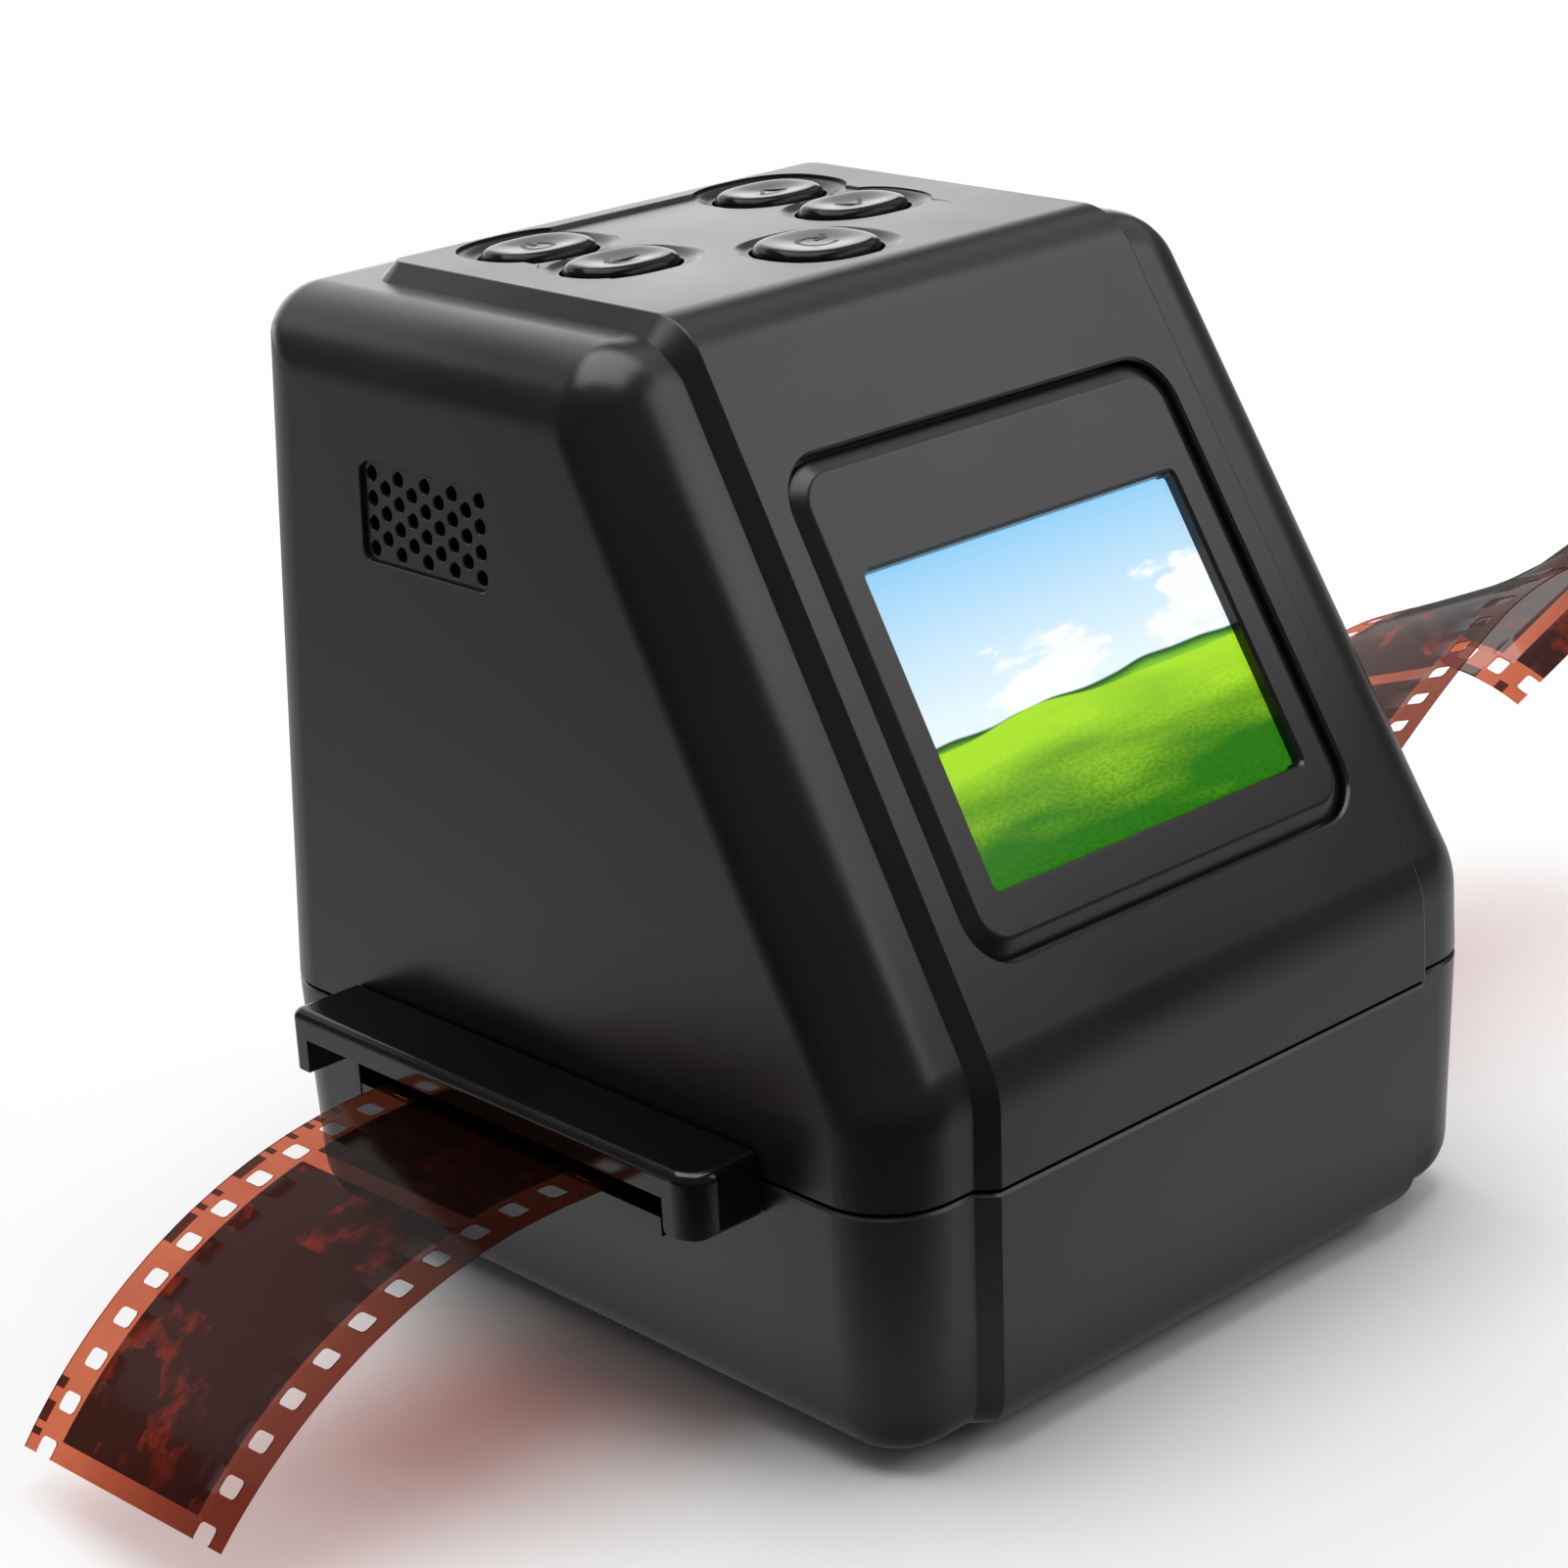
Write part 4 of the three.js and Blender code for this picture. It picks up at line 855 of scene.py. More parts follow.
# %% Paint the sky of the preview picture
low_sky, high_sky, cloud_white = (0.8, 0.93, 1.0), (0.24, 0.6, 0.93), (0.97, 0.99, 1.0)
cloud_flatness = 1.3


def paint_sky(finish, place, up):
    sky = finish.mix(finish.spread(up, 0.0, 1.0, 0.5, 1.05), low_sky, high_sky)
    puffs = finish.noise(finish.stretched(place, (2.6, 5.2, 1.0)), 1.6, 6.0, 0.55)

    def cloud_bank(across_share, up_share, reach_share):
        """Full in the middle of a cloud and nothing past its reach, flatter than it is wide."""
        shift = (-across_share, -up_share * cloud_flatness, 0)
        from_middle = finish.stretched(place, (1, cloud_flatness, 0), shift)
        return finish.spread(finish.length(from_middle), 1.0, 0.0, 0.0, reach_share)

    banks = cloud_bank(0.42, 0.52, 0.34).reckon("MAXIMUM", cloud_bank(0.97, 0.64, 0.36))
    clouds = finish.spread(puffs + banks * 0.5, 0.0, 0.95, 0.74, 0.82)
    return finish.mix(clouds, sky, cloud_white)


# %% Paint the hills under it
far_shade, far_light = (0.01, 0.1, 0.004), (0.2, 0.56, 0.015)
meadow_shade, meadow_light, blade_shade = (0.02, 0.19, 0.0), (0.4, 0.77, 0.01), (0.01, 0.13, 0.0)


def paint_hills(finish, picture, place, across, up):
    def hill(left_share, right_share, swell_share, wave, seed):
        """How deep a point lies under the crest of a rolling hill, as a share of the picture."""
        swell = finish.noise(finish.add("CombineXYZ", {"X": across, "Y": seed}), wave, 1.0)
        crest = finish.spread(across, left_share, right_share, 0.0, 1.0)
        return crest + finish.spread(swell, -swell_share, swell_share) - up

    def covered(depth):
        return finish.spread(depth, 0.0, 1.0, -0.003, 0.003)

    far_hill = hill(0.45, 0.49, 0.02, 3.4, 3.0)
    near_hill = hill(0.43, 0.47, 0.025, 1.7, 8.0)
    picture = finish.mix(covered(far_hill), picture, far_shade)
    far_lit = covered(far_hill) * finish.spread(far_hill, 0.0, 1.0, 0.008, 0.03)
    picture = finish.mix(far_lit, picture, far_light)
    folds = finish.noise(finish.stretched(place, (0.8, 3.2, 1.0), turn=0.5), 2.2, 2.0, 0.4)
    lit = near_hill * -2.9 + 1.1 + finish.spread(folds, -0.3, 0.3, 0.35, 0.65)
    grass = finish.mix(finish.spread(lit, 0.0, 1.0, 0.0, 1.0), meadow_shade, meadow_light)
    blades = finish.noise(finish.stretched(place, (20.0, 34.0, 1.0)), 3.0, 5.0, 0.7)
    tufted = finish.spread(near_hill, 0.0, 0.8, 0.03, 0.5)
    grass = finish.mix(tufted * finish.spread(blades, 1.0, 0.0, 0.42, 0.56), grass, blade_shade)
    return finish.mix(covered(near_hill), picture, grass)


def screen_material():
    finish = Finish("display", grey(0.01), 0.12, IOR=1.2)
    place = finish.add("UVMap", uv_map="picture")
    across, up, depth = finish.split(place)
    picture = paint_hills(finish, paint_sky(finish, place, up), place, across, up)
    finish.give("Emission Color", picture)
    finish.give("Emission Strength", 1.0)
    return finish.material


# %% Build the display
lcd_tray = 0.8  # the step round the edge of the panel


def lcd_shape():
    back, face = -bezel_thick - fit - lcd_thick, -bezel_thick - fit
    return loft([
        ring_at(lcd_outline(0), back),
        ring_at(lcd_outline(0), face - lcd_tray),
        ring_at(lcd_outline(-lcd_tray), face - lcd_tray),
        ring_at(lcd_outline(-lcd_tray), face),
        ring_at(window_outline(-fit), face),
        ring_at(window_outline(-fit), face + lcd_lift),
    ])


def picture_place(point):
    """Where a point of the slanted front lies in the picture, as shares of its width and height."""
    up = point.y * math.cos(slant_angle) + (point.z - kink_height) * math.sin(slant_angle)
    return point.x / narrowing(point.z) / screen_width + 0.5, (up - screen_up) / screen_height


lcd = new_object("lcd_panel", on_slant(lcd_shape()))
picture_map = lcd.data.uv_layers.new(name="picture")
for loop in lcd.data.loops:
    point = lcd.data.vertices[loop.vertex_index].co / mm - to_middle
    picture_map.data[loop.index].uv = picture_place(point)
lcd.data.set_sharp_from_angle(angle=sharp_angle)
finish_piece(lcd, screen_material(), nodes=["lcd_module"])

# %% [markdown]
# The buttons are glossy domed ovals that stand about half a millimetre out of the pocket. A loft
# of ovals gives the cap: a straight skirt in the hole, a full round shoulder, and a crown that
# dips a little in the middle for the fingertip. The signs on them are plain generic strokes, laid
# over the crown as thin raised ribbons that follow its curve.

# %% The caps of the buttons
button_rise, button_dish = 1.1, 0.35  # height over its foot, and how far the middle dips
rim_radius, rim_steps, crown_rings, crown_reach_share = 1.05, 8, 10, 0.98
flange, flange_thick = 0.8, 1.1


def foot_level(place):
    return pocket_floor(place[1]) - button_seat


def crown_level(place, share):
    """Height of the top from its middle, 0, to the rim, 1: a dish that rises smoothly to the rim."""
    return foot_level(place) + button_rise - button_dish * (1 - share ** 2) ** 2


def button_shape(place):
    cx, cy, half_width, half_length = place
    flange_top = ceiling - sliding
    rim_level = foot_level(place) + button_rise
    rings = [
        ring_at(button_outline(place, flange), flange_top - flange_thick),
        ring_at(button_outline(place, flange), flange_top),
        ring_at(button_outline(place, 0), flange_top),
    ]
    for inwards, below in quarter_round(rim_radius, rim_steps):
        rings.append(ring_at(button_outline(place, -inwards), rim_level - below))
    for i in range(crown_rings):
        share = 1 - (i + 1) / crown_rings * crown_reach_share
        width, length = (half_width - rim_radius) * share, (half_length - rim_radius) * share
        rings.append(ring_at(superellipse(cx, cy, width, length, button_power), crown_level(place, share)))
    return loft(rings)


# %% The signs on the buttons
def bow(radius, start, end):
    return arc(0, 0, radius, math.radians(start), math.radians(end - start), 14)


strokes = {
    "power": [bow(1.6, 125, 415), [(0, 0.5), (0, 2.3)]],
    "mirror": [[(-0.7, 1.4), (-2.1, 0), (-0.7, -1.4)], [(-2.1, 0), (2.2, 0)]],
    "up": [[(-1.8, -0.9), (0, 1.1), (1.8, -0.9)]],
    "down": [[(-1.8, 0.9), (0, -1.1), (1.8, 0.9)]],
    "capture": [bow(2.0, 20, 320), [(0.5, 0.8), (1.9, 0.7), (2.5, 1.9)]],
}
ribbon_width, ribbon_height, ribbon_root, ribbon_top_share = 0.6, 0.05, 0.1, 0.9


def ribbon(place, stroke):
    """A thin line of ink along a stroke, laid over the dished top of a button."""
    cx, cy, half_width, half_length = place
    rings = []
    for i, (x, y) in enumerate(stroke):
        before = Vector(stroke[max(i - 1, 0)])
        after = Vector(stroke[min(i + 1, len(stroke) - 1)])
        along = (after - before).normalized()
        side = Vector((-along.y, along.x)) * ribbon_width / 2
        level = crown_level(place, min(1.0, math.hypot(x / half_width, y / half_length)))
        corners = [(-1, -ribbon_root), (1, -ribbon_root)]
        corners += [(ribbon_top_share, ribbon_height), (-ribbon_top_share, ribbon_height)]
        rings.append([(cx + x + side.x * s, cy + y + side.y * s, level + h) for s, h in corners])
    return loft(rings)


# %% Build the buttons
for button_name, place in buttons.items():
    body = button_name + "_button"
    cap = new_object(button_name + "_cap", button_shape(place))
    smooth(cap)
    finish_piece(cap, gloss_black, body, [body])
    ribbons = merged([ribbon(place, stroke) for stroke in strokes[button_name]])
    finish_piece(new_object(button_name + "_sign", ribbons), ink_black, body)

# %% [markdown]
# The film track comes out of the left side as a hooded bracket: a long bar with a rounded top edge,
# a short end block in front, a leg and a thin rib at the rear, and the slot for the film under it.
# It is lofted from its plan, cut from below, and its edges are rounded with a Bevel modifier, which
# suits a piece with few and simple edges.

# %% The shape of the hooded bracket
hood_reach, hood_top, hood_underside, hood_edge, hood_steps = 8.6, 30.1, 27.1, 1.1, 8
hood_front_round, hood_rear_round = 3.3, 1.2
hood_front, hood_rear = film_middle - 30.4, film_middle + 32
block_length, block_bottom, leg_length, leg_bottom = 4.6, 23.4, 2.6, 23.0
rib_setback, rib_length, hood_tongue = 10.6, 0.8, 1.8
inner_x = -case_width / 2 - fit
hood_outer = -case_width / 2 - hood_reach
rib_front = hood_rear - rib_setback - rib_length


def hood_plan(inset):
    points = [(inner_x, hood_front + inset), (inner_x, hood_rear - inset)]
    ends = (hood_rear, 1, hood_rear_round, quarter_turn), (hood_front, -1, hood_front_round, math.pi)
    for y, sign, radius, start in ends:
        cx, cy = hood_outer + radius, y - sign * radius
        points += arc(cx, cy, radius - inset, start, quarter_turn, hood_steps)
    return points


def hood_shape():
    edge = [(inset, hood_top - below) for inset, below in quarter_round(hood_edge, hood_steps)]
    return loft([ring_at(hood_plan(inset), z) for inset, z in [(0, block_bottom), *edge]])


def under_hood(front, rear, high):
    return block((hood_outer - overrun, front, block_bottom - overrun), (inner_x + overrun, rear, high))


def corner_trim(y, z, radius, sign):
    """What a rounded lower corner leaves over: sign is 1 for a rear corner and -1 for a front one."""
    outline = [(y + sign * overrun, z - overrun), (y + sign * overrun, z + radius)]
    outline += [(y - sign * inwards, z + rise) for inwards, rise in quarter_round(radius, hood_steps)]
    outline.append((y - sign * radius, z - overrun))
    return loft([[(x, a, b) for a, b in outline] for x in (hood_outer - overrun, inner_x + overrun)])


# %% Build the hooded bracket
leg_trim, block_front_trim, block_rear_trim = 1.5, 0.9, 0.7
track_right = case_width / 2 + 0.9
gate_width, gate_length = 38.0, 25.2
hood = new_object("film_track_hood_skin", hood_shape())
cut(
    hood,
    under_hood(hood_front + block_length, rib_front, hood_underside),
    under_hood(rib_front + rib_length, hood_rear - leg_length, hood_underside),
    under_hood(rib_front - overrun, hood_rear + overrun, leg_bottom),
    corner_trim(hood_rear, leg_bottom, leg_trim, 1),
    corner_trim(hood_front, block_bottom, block_front_trim, -1),
    corner_trim(hood_front + block_length, block_bottom, block_rear_trim, 1),
)
plate_low = (inner_x - hood_tongue, track_front, plate_bottom)
join(hood, block(plate_low, (track_right, track_rear, plate_top)))
gate_low = (-gate_width / 2, film_middle - gate_length / 2, plate_bottom - overrun)
gate_high = (gate_width / 2, film_middle + gate_length / 2, plate_top + overrun)
cut(hood, block(gate_low, gate_high))
smooth(hood, 0.22)
finish_piece(hood, track_black, nodes=["film_track_hood"])

# %% [markdown]
# The film is one long strip. Each half is followed outwards from the gate: it runs straight, then
# bends and twists by a few degrees over each stretch, and never stretches sideways, so it hangs
# like real film. The strip is first drawn flat, with rounded perforations at the standard pitch,
# and every point is then laid onto the curve.

# %% Sizes of the film strip
film_width, film_thick, film_height, film_pitch = 35.0, 0.15, 25.3, 4.75
hole_length, hole_width, hole_edge, hole_round = 1.98, 2.8, 2.0, 0.5
film_cut = 0.8  # from the middle of the last holes to the cut ends
frame_run, frame_length, frame_width = 38.0, 36.0, 24.0
# Each stretch is a run in millimetres with its bend and its twist in degrees
left_half = [(56.4, 0, 0), (48.7, -47.7, -6.1)]
right_half = [
    (55.2, 0, 0), (16.1, 30.6, -20.2), (22.1, -6, -3.9),
    (16.4, -22.3, -2.5), (8.1, -25, -26.3), (11.4, -34.6, -3.3),
]


def half_run(stretches):
    return sum(run for run, bend, twist in stretches)


film_start = -half_run(left_half)
film_pitches = round((half_run(right_half) - film_start - 2 * film_cut) / film_pitch)
film_end = film_start + film_pitches * film_pitch + 2 * film_cut
hole_places = [film_start + film_cut + n * film_pitch for n in range(film_pitches + 1)]
print("film runs from", round(film_start, 1), "to", round(film_end, 1), "with", film_pitches, "pitches")


# %% Follow the film strip
def turned_towards(first, second, angle):
    """Two directions at right angles, turned so that the first leans towards the second."""
    c, s = math.cos(angle), math.sin(angle)
    return first * c + second * s, second * c - first * s


def follow(stretches, direction, distances):
    """Place, direction, cross direction and upward direction at each distance from the gate."""
    place = Vector((0, film_middle, film_height))
    along, across, up = Vector((direction, 0, 0)), Vector((0, 1, 0)), Vector((0, 0, 1))
    stations = [(0.0, place, along, across, up)]
    done = 0.0
    for distance in distances:
        passed = 0.0
        for run, bend, twist in stretches:
            passed += run
            if (distance + done) / 2 < passed:
                break
        step = distance - done
        place = place + along * step / 2
        along, up = turned_towards(along, up, math.radians(bend) * step / run)
        place = place + along * step / 2
        across, up = turned_towards(across, up, math.radians(twist) * step / run)
        stations.append((distance, place, along, across, up))
        done = distance
    return stations


hole_ends = [min(max(place + side * hole_length / 2, film_start), film_end)
             for place in hole_places for side in (-1, 1)]
left_stations = follow(left_half, -1, sorted(-end for end in hole_ends if end < 0))
right_stations = follow(right_half, 1, sorted(end for end in hole_ends if end >= 0))


def film_point(along, across):
    """Where a point of the flat strip lies: a smooth curve runs from each station to the next."""
    stations = left_stations if along < 0 else right_stations
    distance = abs(along)
    i = 0
    while i < len(stations) - 2 and stations[i + 1][0] < distance:
        i += 1
    (d0, p0, t0, side0, up0), (d1, p1, t1, side1, up1) = stations[i], stations[i + 1]
    length = d1 - d0
    share = (distance - d0) / length
    square, cube = share ** 2, share ** 3
    place = (
        p0 * (2 * cube - 3 * square + 1)
        + t0 * length * (cube - 2 * square + share)
        + p1 * (3 * square - 2 * cube)
        + t1 * length * (cube - square)
    )
    return place + side0.lerp(side1, share) * across


print("stations along the film:", len(left_stations) + len(right_stations))

# %% Draw the cells round the holes
hole_inner = film_width / 2 - hole_edge - hole_width  # the holes' inner sides, from the middle line
tiny, corner_reach = 0.001, 0.01


def hole_frame(centre, side):
    """A hole's outline, and for each of its points one on the edge of the cell round the hole."""
    middle = side * (hole_inner + hole_width / 2)
    frame_low, frame_high = sorted((side * hole_inner, side * film_width / 2))
    hole = rounded_rectangle(centre, middle, hole_length, hole_width, hole_round, 4)
    frame = []
    for along, across in hole:
        from_middle, from_axis = along - centre, across - middle
        short_of_end = hole_length / 2 - abs(from_middle)
        short_of_side = hole_width / 2 - abs(from_axis)
        end_share = from_middle / (hole_length / 2)
        side_share = from_axis / (hole_width / 2)
        if short_of_end < short_of_side + corner_reach:
            end_share = math.copysign(1, end_share)
        if short_of_side < short_of_end + corner_reach:
            side_share = math.copysign(1, side_share)
        frame.append((
            centre + end_share * film_pitch / 2,
            frame_low + (frame_high - frame_low) * (side_share + 1) / 2,
        ))
    return hole, frame


# %% Lay the strip on the curve
def film_mesh():
    """Rows of four-sided faces along the middle, and a ring of them round every hole."""
    mesh = bmesh.new()
    uv = mesh.loops.layers.uv.new("strip")
    known, flat_place = {}, {}

    def vertex(along, across):
        along = min(max(along, film_start), film_end)
        key = (round(along, 3), round(across, 3))
        if key not in known:
            known[key] = mesh.verts.new((film_point(along, across) + to_middle) * mm)
            flat_place[known[key]] = (along, across)
        return known[key]

    def face(places):
        corners = list(dict.fromkeys(vertex(*place) for place in places))
        alongs = [flat_place[corner][0] for corner in corners]
        if len(corners) < 3 or max(alongs) - min(alongs) < tiny:
            return
        made = mesh.faces.new(corners)
        made.smooth = True
        for loop in made.loops:
            along, across = flat_place[loop.vert]
            loop[uv].uv = (along / frame_run, across / film_width + 0.5)

    columns = [hole_inner * (2 * i / 6 - 1) for i in range(7)]
    for centre in hole_places:
        rows = set()
        for side in (-1, 1):
            hole, frame = hole_frame(centre, side)
            for i in range(len(hole)):
                j = (i + 1) % len(hole)
                face([hole[i], hole[j], frame[j], frame[i]])
            rows |= {along for along, across in frame if abs(across - side * hole_inner) < tiny}
        rows = sorted(rows)
        for low, high in zip(rows, rows[1:]):
            for near, far in zip(columns, columns[1:]):
                face([(low, near), (high, near), (high, far), (low, far)])
    bmesh.ops.recalc_face_normals(mesh, faces=mesh.faces)
    made = bpy.data.meshes.new("film_strip_sheet")
    mesh.to_mesh(made)
    mesh.free()
    return made


# %% [markdown]
# Colour negative film is clear orange-brown along its edges, and holds a dense dark picture in each
# frame, 36 by 24 mm with 2 mm between frames. Light passes through it and comes out orange, which
# is why the table below it glows red. A Transparent shader carries that colour, and a glossy
# shader lies over it as the polished surface. The frames hold no real picture, only soft blocks
# and shapes from noise, and plain tick marks run along one edge as on any film.

# %% Paint the frames and the edges of the film
first_frame_margin = 1.0  # from the cut end to the middle of the first gap between frames
tick_length, tick_width, tick_wave = 0.7, 1.55, 6.0
frame_dark, frame_red, frame_grain = (0.05, 0.014, 0.01), (0.26, 0.03, 0.016), (0.04, 0.012, 0.01)
edge_orange, edge_pale = (0.6, 0.14, 0.07), (0.7, 0.18, 0.09)
# The first of the two browns below is painted shade along one edge of the film; the second colours the
# ticks.
edge_painted_shade, tick_brown = (0.16, 0.03, 0.018), (0.1, 0.02, 0.01)


def paint_frames(finish, place):
    block_sizes = {"Vector": place, "Scale": 5.0, "Randomness": 0.7}
    blocks = finish.add("TexVoronoi", block_sizes, "Color", distance="CHEBYCHEV")
    block_shade = finish.add("SeparateColor", {"Color": blocks})
    shapes = finish.noise(place, 9.0, 5.0, 0.6)
    bright = finish.spread(shapes, 0.0, 1.0, 0.48, 0.62) * finish.spread(block_shade, 0.0, 1.0, 0.55, 0.75)
    fine = finish.noise(place, 40.0, 4.0)
    return finish.mix(finish.spread(fine, 0.0, 0.4), finish.mix(bright, frame_dark, frame_red), frame_grain)


def paint_edges(finish, place, frames, across):
    haze = finish.spread(finish.noise(place, 4.0), 0.0, 1.0)
    orange = finish.mix(haze, edge_orange, edge_pale)
    # Painted shade: the orange is darkened towards one edge of the strip, all along its length.
    orange = finish.mix(finish.spread(across, 0.75, 0.0, 0.1, 0.8), orange, edge_painted_shade)
    tick_number = (frames * (frame_run / tick_length)).reckon("FLOOR")
    tick_value = finish.add("TexWhiteNoise", {"W": tick_number}, noise_dimensions="1D")
    ticks = (tick_value > 0.5) * (across > 1 - tick_width / film_width)
    ticks = ticks * ((frames * tick_wave).reckon("SINE") > -0.3)
    return finish.mix(ticks, orange, tick_brown)


# %% Put the film's finish together
shadow_red, shadow_share = (0.9, 0.27, 0.2), 0.55
body_brown, body_share, body_cover = (0.02, 0.006, 0.004), 0.75, 0.12
film_gloss_roughness, film_ior, film_sheen = 0.13, 1.36, 0.22


def film_material():
    finish = Finish("negative film", tick_brown, 0.16)
    frames, across, depth = finish.split(finish.add("UVMap", uv_map="strip"))
    shifted = frames - (film_start + first_frame_margin) / frame_run
    inside_length = abs(shifted.reckon("FRACT") - 0.5) < frame_length / 2 / frame_run
    inside_width = abs(across - 0.5) < frame_width / 2 / film_width
    place = finish.add("CombineXYZ", {"X": frames, "Y": across, "Z": shifted.reckon("FLOOR")})
    edges = paint_edges(finish, place, frames, across)
    colour = finish.mix(inside_length * inside_width, edges, paint_frames(finish, place))

    let_through = finish.mix(shadow_share, colour, shadow_red)
    clear_colour = finish.mix(finish.ray("Is Shadow Ray"), colour, let_through)
    clear = finish.add("BsdfTransparent", {"Color": clear_colour})
    finish.give("Base Color", finish.mix(body_share, colour, body_brown))
    finish.give("Specular IOR Level", 0.0)
    blend = finish.mix_shader(body_cover, clear, finish.body)
    gloss = finish.add("BsdfGlossy", {"Color": (1, 1, 1), "Roughness": film_gloss_roughness})
    sheen = finish.add("Fresnel", {"IOR": film_ior}) * film_sheen
    finish.show(finish.mix_shader(sheen, blend, gloss))
    return finish.material


film = bpy.data.objects.new("film_strip_sheet", film_mesh())
bpy.context.scene.collection.objects.link(film)
edges = film.modifiers.new("cut edges", "SOLIDIFY")
edges.thickness = film_thick * mm
edges.offset = 0
edges.use_rim_only = True
apply_modifiers(film)
film.data.set_sharp_from_angle(angle=math.radians(60))
finish_piece(film, film_material(), "film", ["film_strip"])

# %% [markdown]
# Underneath, the scanner stands on four soft rubber feet, and cross-head screws hold the case
# together. Both are turned shapes, so a profile is spun round an upright axis.

# %% Build the feet
foot_edge = [(0.75, 0.0), (0.3, 0.12), (0.08, 0.4), (0.0, 0.8)]  # steps in from the side, and up
corner_names = ["left_front", "left_rear", "right_front", "right_rear"]


def turned_shape(x, y, profile, count=40):
    """A closed shape from radii and heights, with the first and last ring capped."""
    return loft([ring_at(circle(x, y, radius, count), z) for radius, z in profile])


foot_profile = [(foot_radius - inwards, up - foot_stand) for inwards, up in foot_edge]
foot_profile.append((foot_radius, foot_seat - fit))
for corner, (x, y) in zip(corner_names, foot_places):
    foot = new_object("foot_pad_" + corner, turned_shape(x, y, foot_profile))
    smooth(foot)
    finish_piece(foot, foot_rubber, nodes=["foot_" + corner])

# %% Build the screws
head_bottom, head_radius, head_thick, shank_radius, screw_length = 0.9, 2.2, 1.4, 1.0, 34.0
head_edge = [(0.35, 0.0), (0.08, 0.12), (0.0, 0.4), (0.0, head_thick)]
tip_share, tip_length = 0.2, 0.9
cross_reach, cross_half, cross_start, cross_depth = 1.3, 0.25, 0.2, 0.8


def steel_material():
    finish = Finish("plated steel", (0.5, 0.5, 0.52), 0.3, Metallic=1.0)
    wear = finish.noise(finish.object_place(), 900.0, 4.0)
    finish.give("Roughness", finish.spread(wear, 0.22, 0.4))
    tint = finish.mix(finish.spread(wear, 0.0, 1.0), (0.46, 0.46, 0.48), (0.6, 0.6, 0.61))
    finish.give("Base Color", tint)
    return finish.material


steel = steel_material()
screw_profile = [(head_radius - inwards, head_bottom + up) for inwards, up in head_edge] + [
    (shank_radius, head_bottom + head_thick),
    (shank_radius, head_bottom + screw_length),
    (shank_radius * tip_share, head_bottom + screw_length + tip_length),
]
for corner, (x, y) in zip(corner_names, post_places):
    screw = new_object("screw_" + corner, turned_shape(x, y, screw_profile, 32))
    for half_x, half_y in ((cross_reach, cross_half), (cross_half, cross_reach)):
        low = (x - half_x, y - half_y, head_bottom - cross_start)
        cut(screw, block(low, (x + half_x, y + half_y, head_bottom + cross_depth)))
    smooth(screw)
    finish_piece(screw, steel, nodes=["case_screw_" + corner])

# %% [markdown]
# Inside lie the parts that make it work: the circuit boards, the light box under the gate, the
# camera above it, the speaker and the sockets. They hardly show, so the measured solids stay as
# they are, and each gets a finish of its own. A board has a woven glass core under its green
# lacquer, with copper tracks that show as slightly lighter lines.

# %% Mix the boards' lacquer and the lens glass
def board_material():
    finish = Finish("circuit board", (0.01, 0.09, 0.03), 0.32)
    where = finish.object_place()
    tracks = finish.add("TexBrick", {"Vector": where, "Scale": 260.0, "Mortar Size": 0.03})
    line = finish.spread(finish.add("SeparateColor", {"Color": tracks}), 0.0, 1.0, 0.0, 0.8)
    finish.give("Base Color", finish.mix(line, (0.03, 0.2, 0.07), (0.008, 0.08, 0.028)))
    finish.bump(finish.noise(where, 1800.0, 2.0), 0.01 * mm)
    return finish.material


def glass_material():
    finish = Finish("lens glass", (0.9, 0.95, 1.0), 0.02, IOR=1.52, Alpha=0.35)
    smear = finish.noise(finish.object_place(), 300.0, 2.0)
    finish.give("Roughness", finish.spread(smear, 0.01, 0.05))
    return finish.material


# %% Finish the inner parts
inner_finishes = [
    (board_material(), ["lcd_board", "button_board", "sensor_board", "main_board"]),
    (track_black, ["film_track_bed"]),
    (opal_plastic, ["light_box", "light_diffuser"]),
    (lamp_board, ["led_board"]),
    (inner_black, ["camera_tower", "lens_barrel", "speaker"]),
    (glass_material(), ["lens_glass"]),
    (steel, ["usb_socket", "card_socket"]),
    (silicone, [button_name + "_dome" for button_name in buttons]),
]
for material, node_names in inner_finishes:
    for node_name in node_names:
        for slot in frame["nodes"][node_name].material_slots:
            slot.material = material
    print(material.name, "on", node_names)

# %% [markdown]
# The studio is a white table that runs back out of sight. Near the scanner it is real, so that it
# takes the soft shadow and the red light under the film, and further off it fades into pure white,
# as a lit backdrop does. That fade depends only on the distance from the scanner. What the black
# plastic reflects of the table is painted: a glow that is dimmer further off and towards the dark
# corner of the studio, with a painted contact shadow right at the base.

# %% Paint the table
def shade_round_the_base(finish, sideways, lengthways):
    """Painted contact shadow: dark right at the base and bright from a few centimetres off."""
    squares = []
    for place, half in ((sideways, case_width / 2), (lengthways, case_depth / 2)):
        beyond = (abs(place) - (half - base_edge_round) * mm).reckon("MAXIMUM", 0.0)
        squares.append(beyond.reckon("POWER", 2.0))
    return finish.spread((squares[0] + squares[1]).reckon("SQRT"), 0.2, 1.0, 0.002, 0.02)


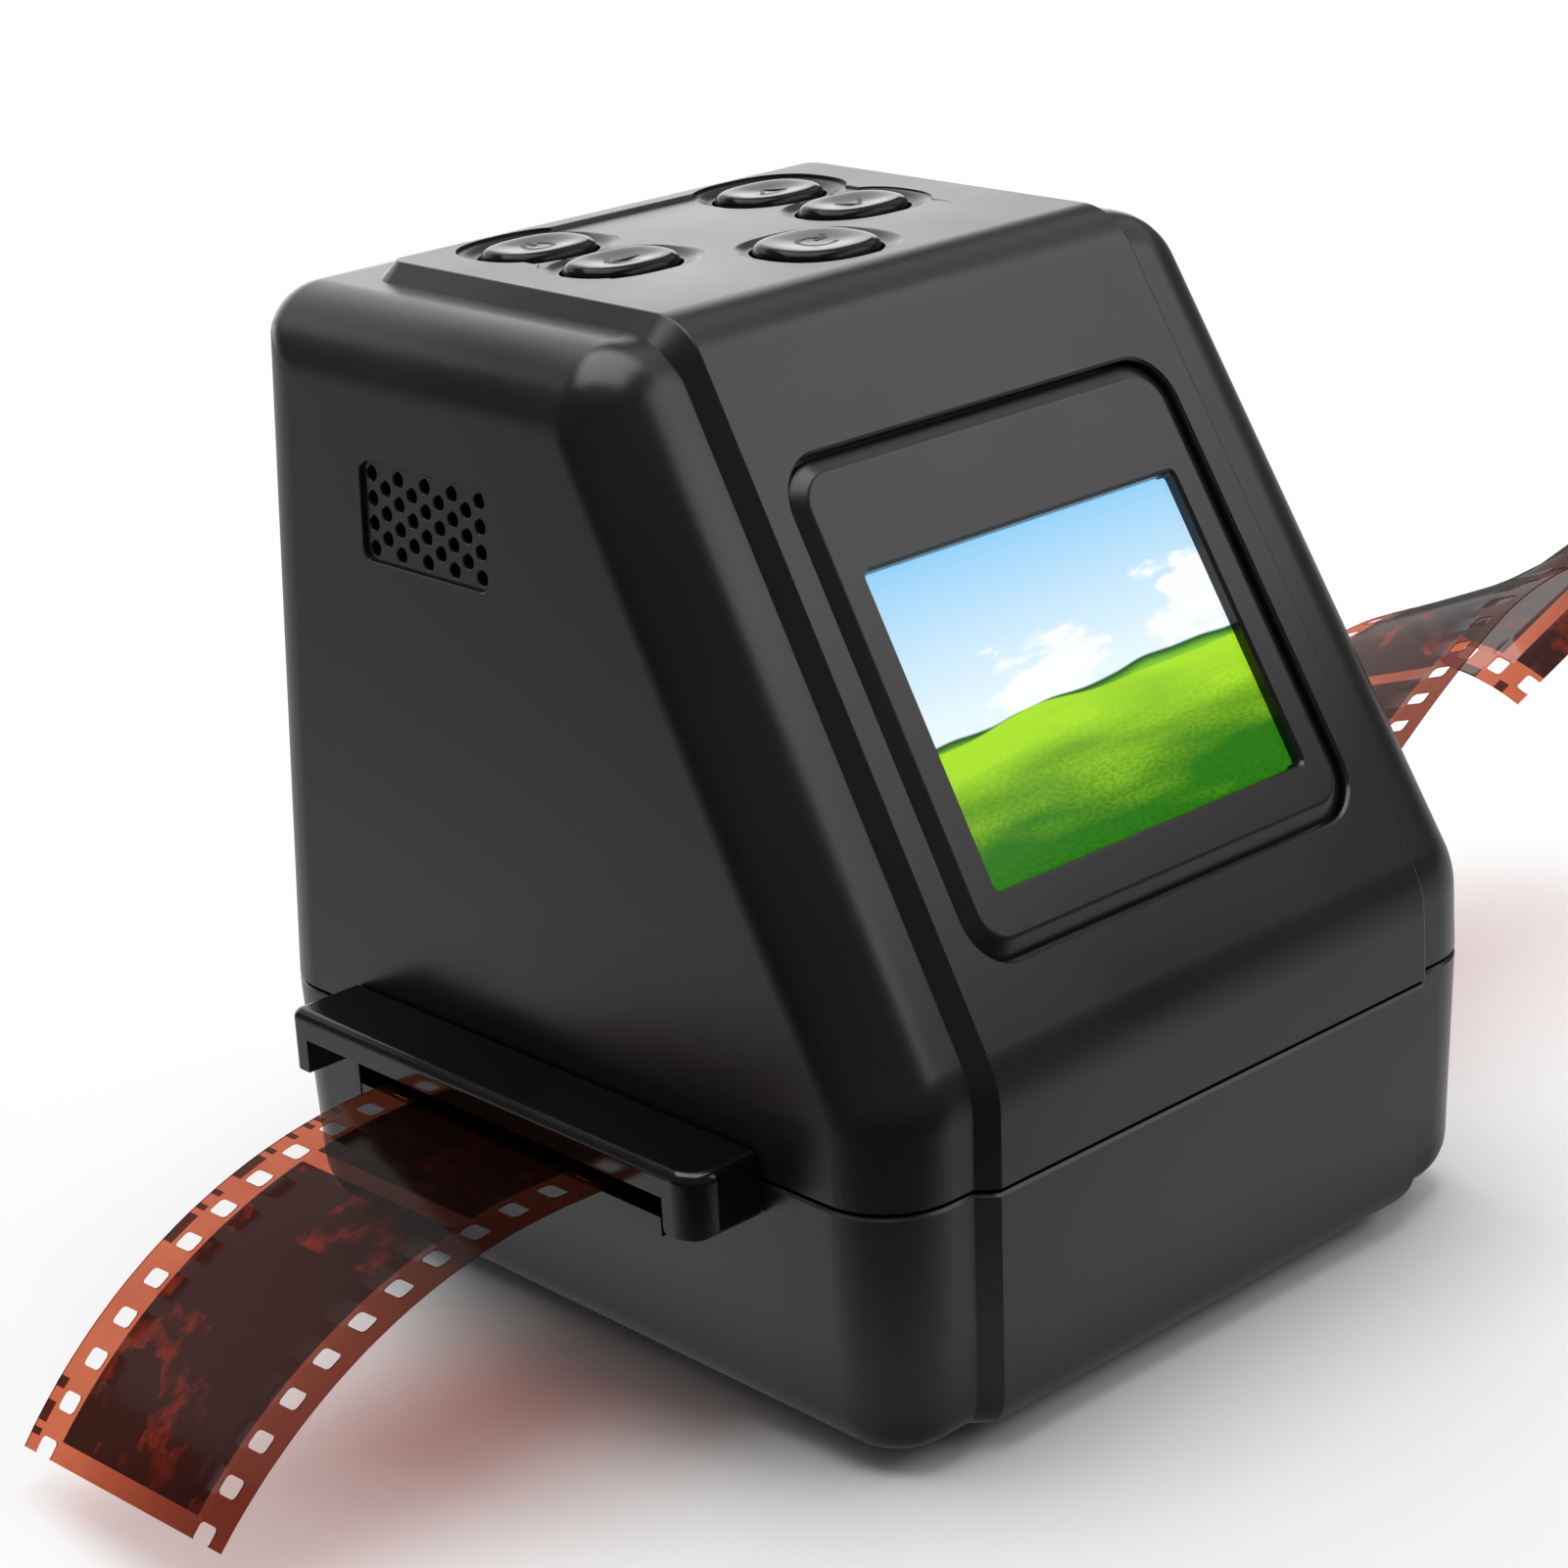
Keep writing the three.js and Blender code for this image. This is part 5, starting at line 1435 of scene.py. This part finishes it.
def table_material():
    finish = Finish("white table", grey(0.9), 0.6)
    where = finish.object_place()
    sideways, lengthways, height = finish.split(where)
    far = finish.length(where)
    seen = finish.ray("Is Camera Ray").reckon("MAXIMUM", finish.ray("Is Transmission Ray"))
    fade = finish.spread(far, 0.0, 1.0, 0.07, 0.17)
    direct = finish.mix_shader(fade * seen, finish.body, finish.glow(1.0))

    # Painted reflection: for glossy rays the table is a glow, painted dimmer further off and towards the
    # dark corner, with a painted contact shadow at the base.
    to_corner = (sideways + lengthways) * -math.sqrt(0.5)
    brightness = finish.spread(far, 0.8, 0.5, 0.06, 0.3) * finish.spread(to_corner, 1.0, 0.06, 0.05, 0.11)
    painted_table_reflection = finish.glow(brightness * shade_round_the_base(finish, sideways, lengthways))
    finish.show(finish.mix_shader(finish.ray("Is Glossy Ray"), direct, painted_table_reflection))
    return finish.material


# %% Set the table
half_table, table_level = 4.0, -foot_stand * mm
table_mesh = bpy.data.meshes.new("table")
corners = [(x * half_table, y * half_table, table_level) for x, y in ((-1, -1), (1, -1), (1, 1), (-1, 1))]
table_mesh.from_pydata(corners, [], [(0, 1, 2, 3)])
table_mesh.materials.append(table_material())
table = bpy.data.objects.new("table", table_mesh)
bpy.context.scene.collection.objects.link(table)
print("the table lies at", table_level)

# %% [markdown]
# Black satin plastic shows what it mirrors more than its own colour, so the lamps are large soft
# boxes. One hangs over the scanner and lights its top, a dim one at the right draws the light
# along the brow, and two stand far behind, a low and a high one, and light the rims and the top
# from there. A small one at the right front keeps the slanted front from going dead black.

# %% Light the studio
lamps = {  # place, height that it aims at, width, height and brightness
    "over_box": ((-0.05, 0.15, 0.8), 0.04, 0.7, 0.8, 3.4),
    "brow_box": ((0.62, 0.0, 0.72), 0.08, 0.7, 0.7, 0.55),
    "back_box": ((0.35, 0.95, 0.22), 0.1, 1.5, 0.4, 1.9),
    "high_back_box": ((0.2, 0.95, 0.62), 0.1, 1.5, 0.35, 1.4),
    "right_box": ((0.3, -0.36, 0.4), 0.06, 0.5, 0.3, 1.8),
}


def softbox(name, place, aim_height, width, height, brightness):
    """A lamp as bright as a white wall times the brightness, whatever its size."""
    lamp = bpy.data.lights.new(name, "AREA")
    lamp.shape = "RECTANGLE"
    lamp.size = width
    lamp.size_y = height
    lamp.energy = math.pi * width * height * brightness
    made = bpy.data.objects.new(name, lamp)
    bpy.context.scene.collection.objects.link(made)
    made.location = place
    towards = Vector((0, 0, aim_height)) - Vector(place)
    made.rotation_euler = towards.to_track_quat("-Z", "Y").to_euler()


for lamp_name, values in lamps.items():
    softbox(lamp_name, *values)
print("lamps:", len(lamps))

# %% [markdown]
# The room round the lamps is dim, so that it adds only a little light, but the camera sees it as
# pure white, as the backdrop of a product shot is.

# %% Light the room
room_level = 0.15
world = bpy.data.worlds.new("studio")
bpy.context.scene.world = world
world.use_nodes = True
room = Nodes(world.node_tree)
dim, bright = room.glow(room_level, "Background"), room.glow(1.0, "Background")
room.show(room.mix_shader(room.ray("Is Camera Ray"), dim, bright), "World Output")
bpy.context.scene.view_settings.view_transform = "Standard"
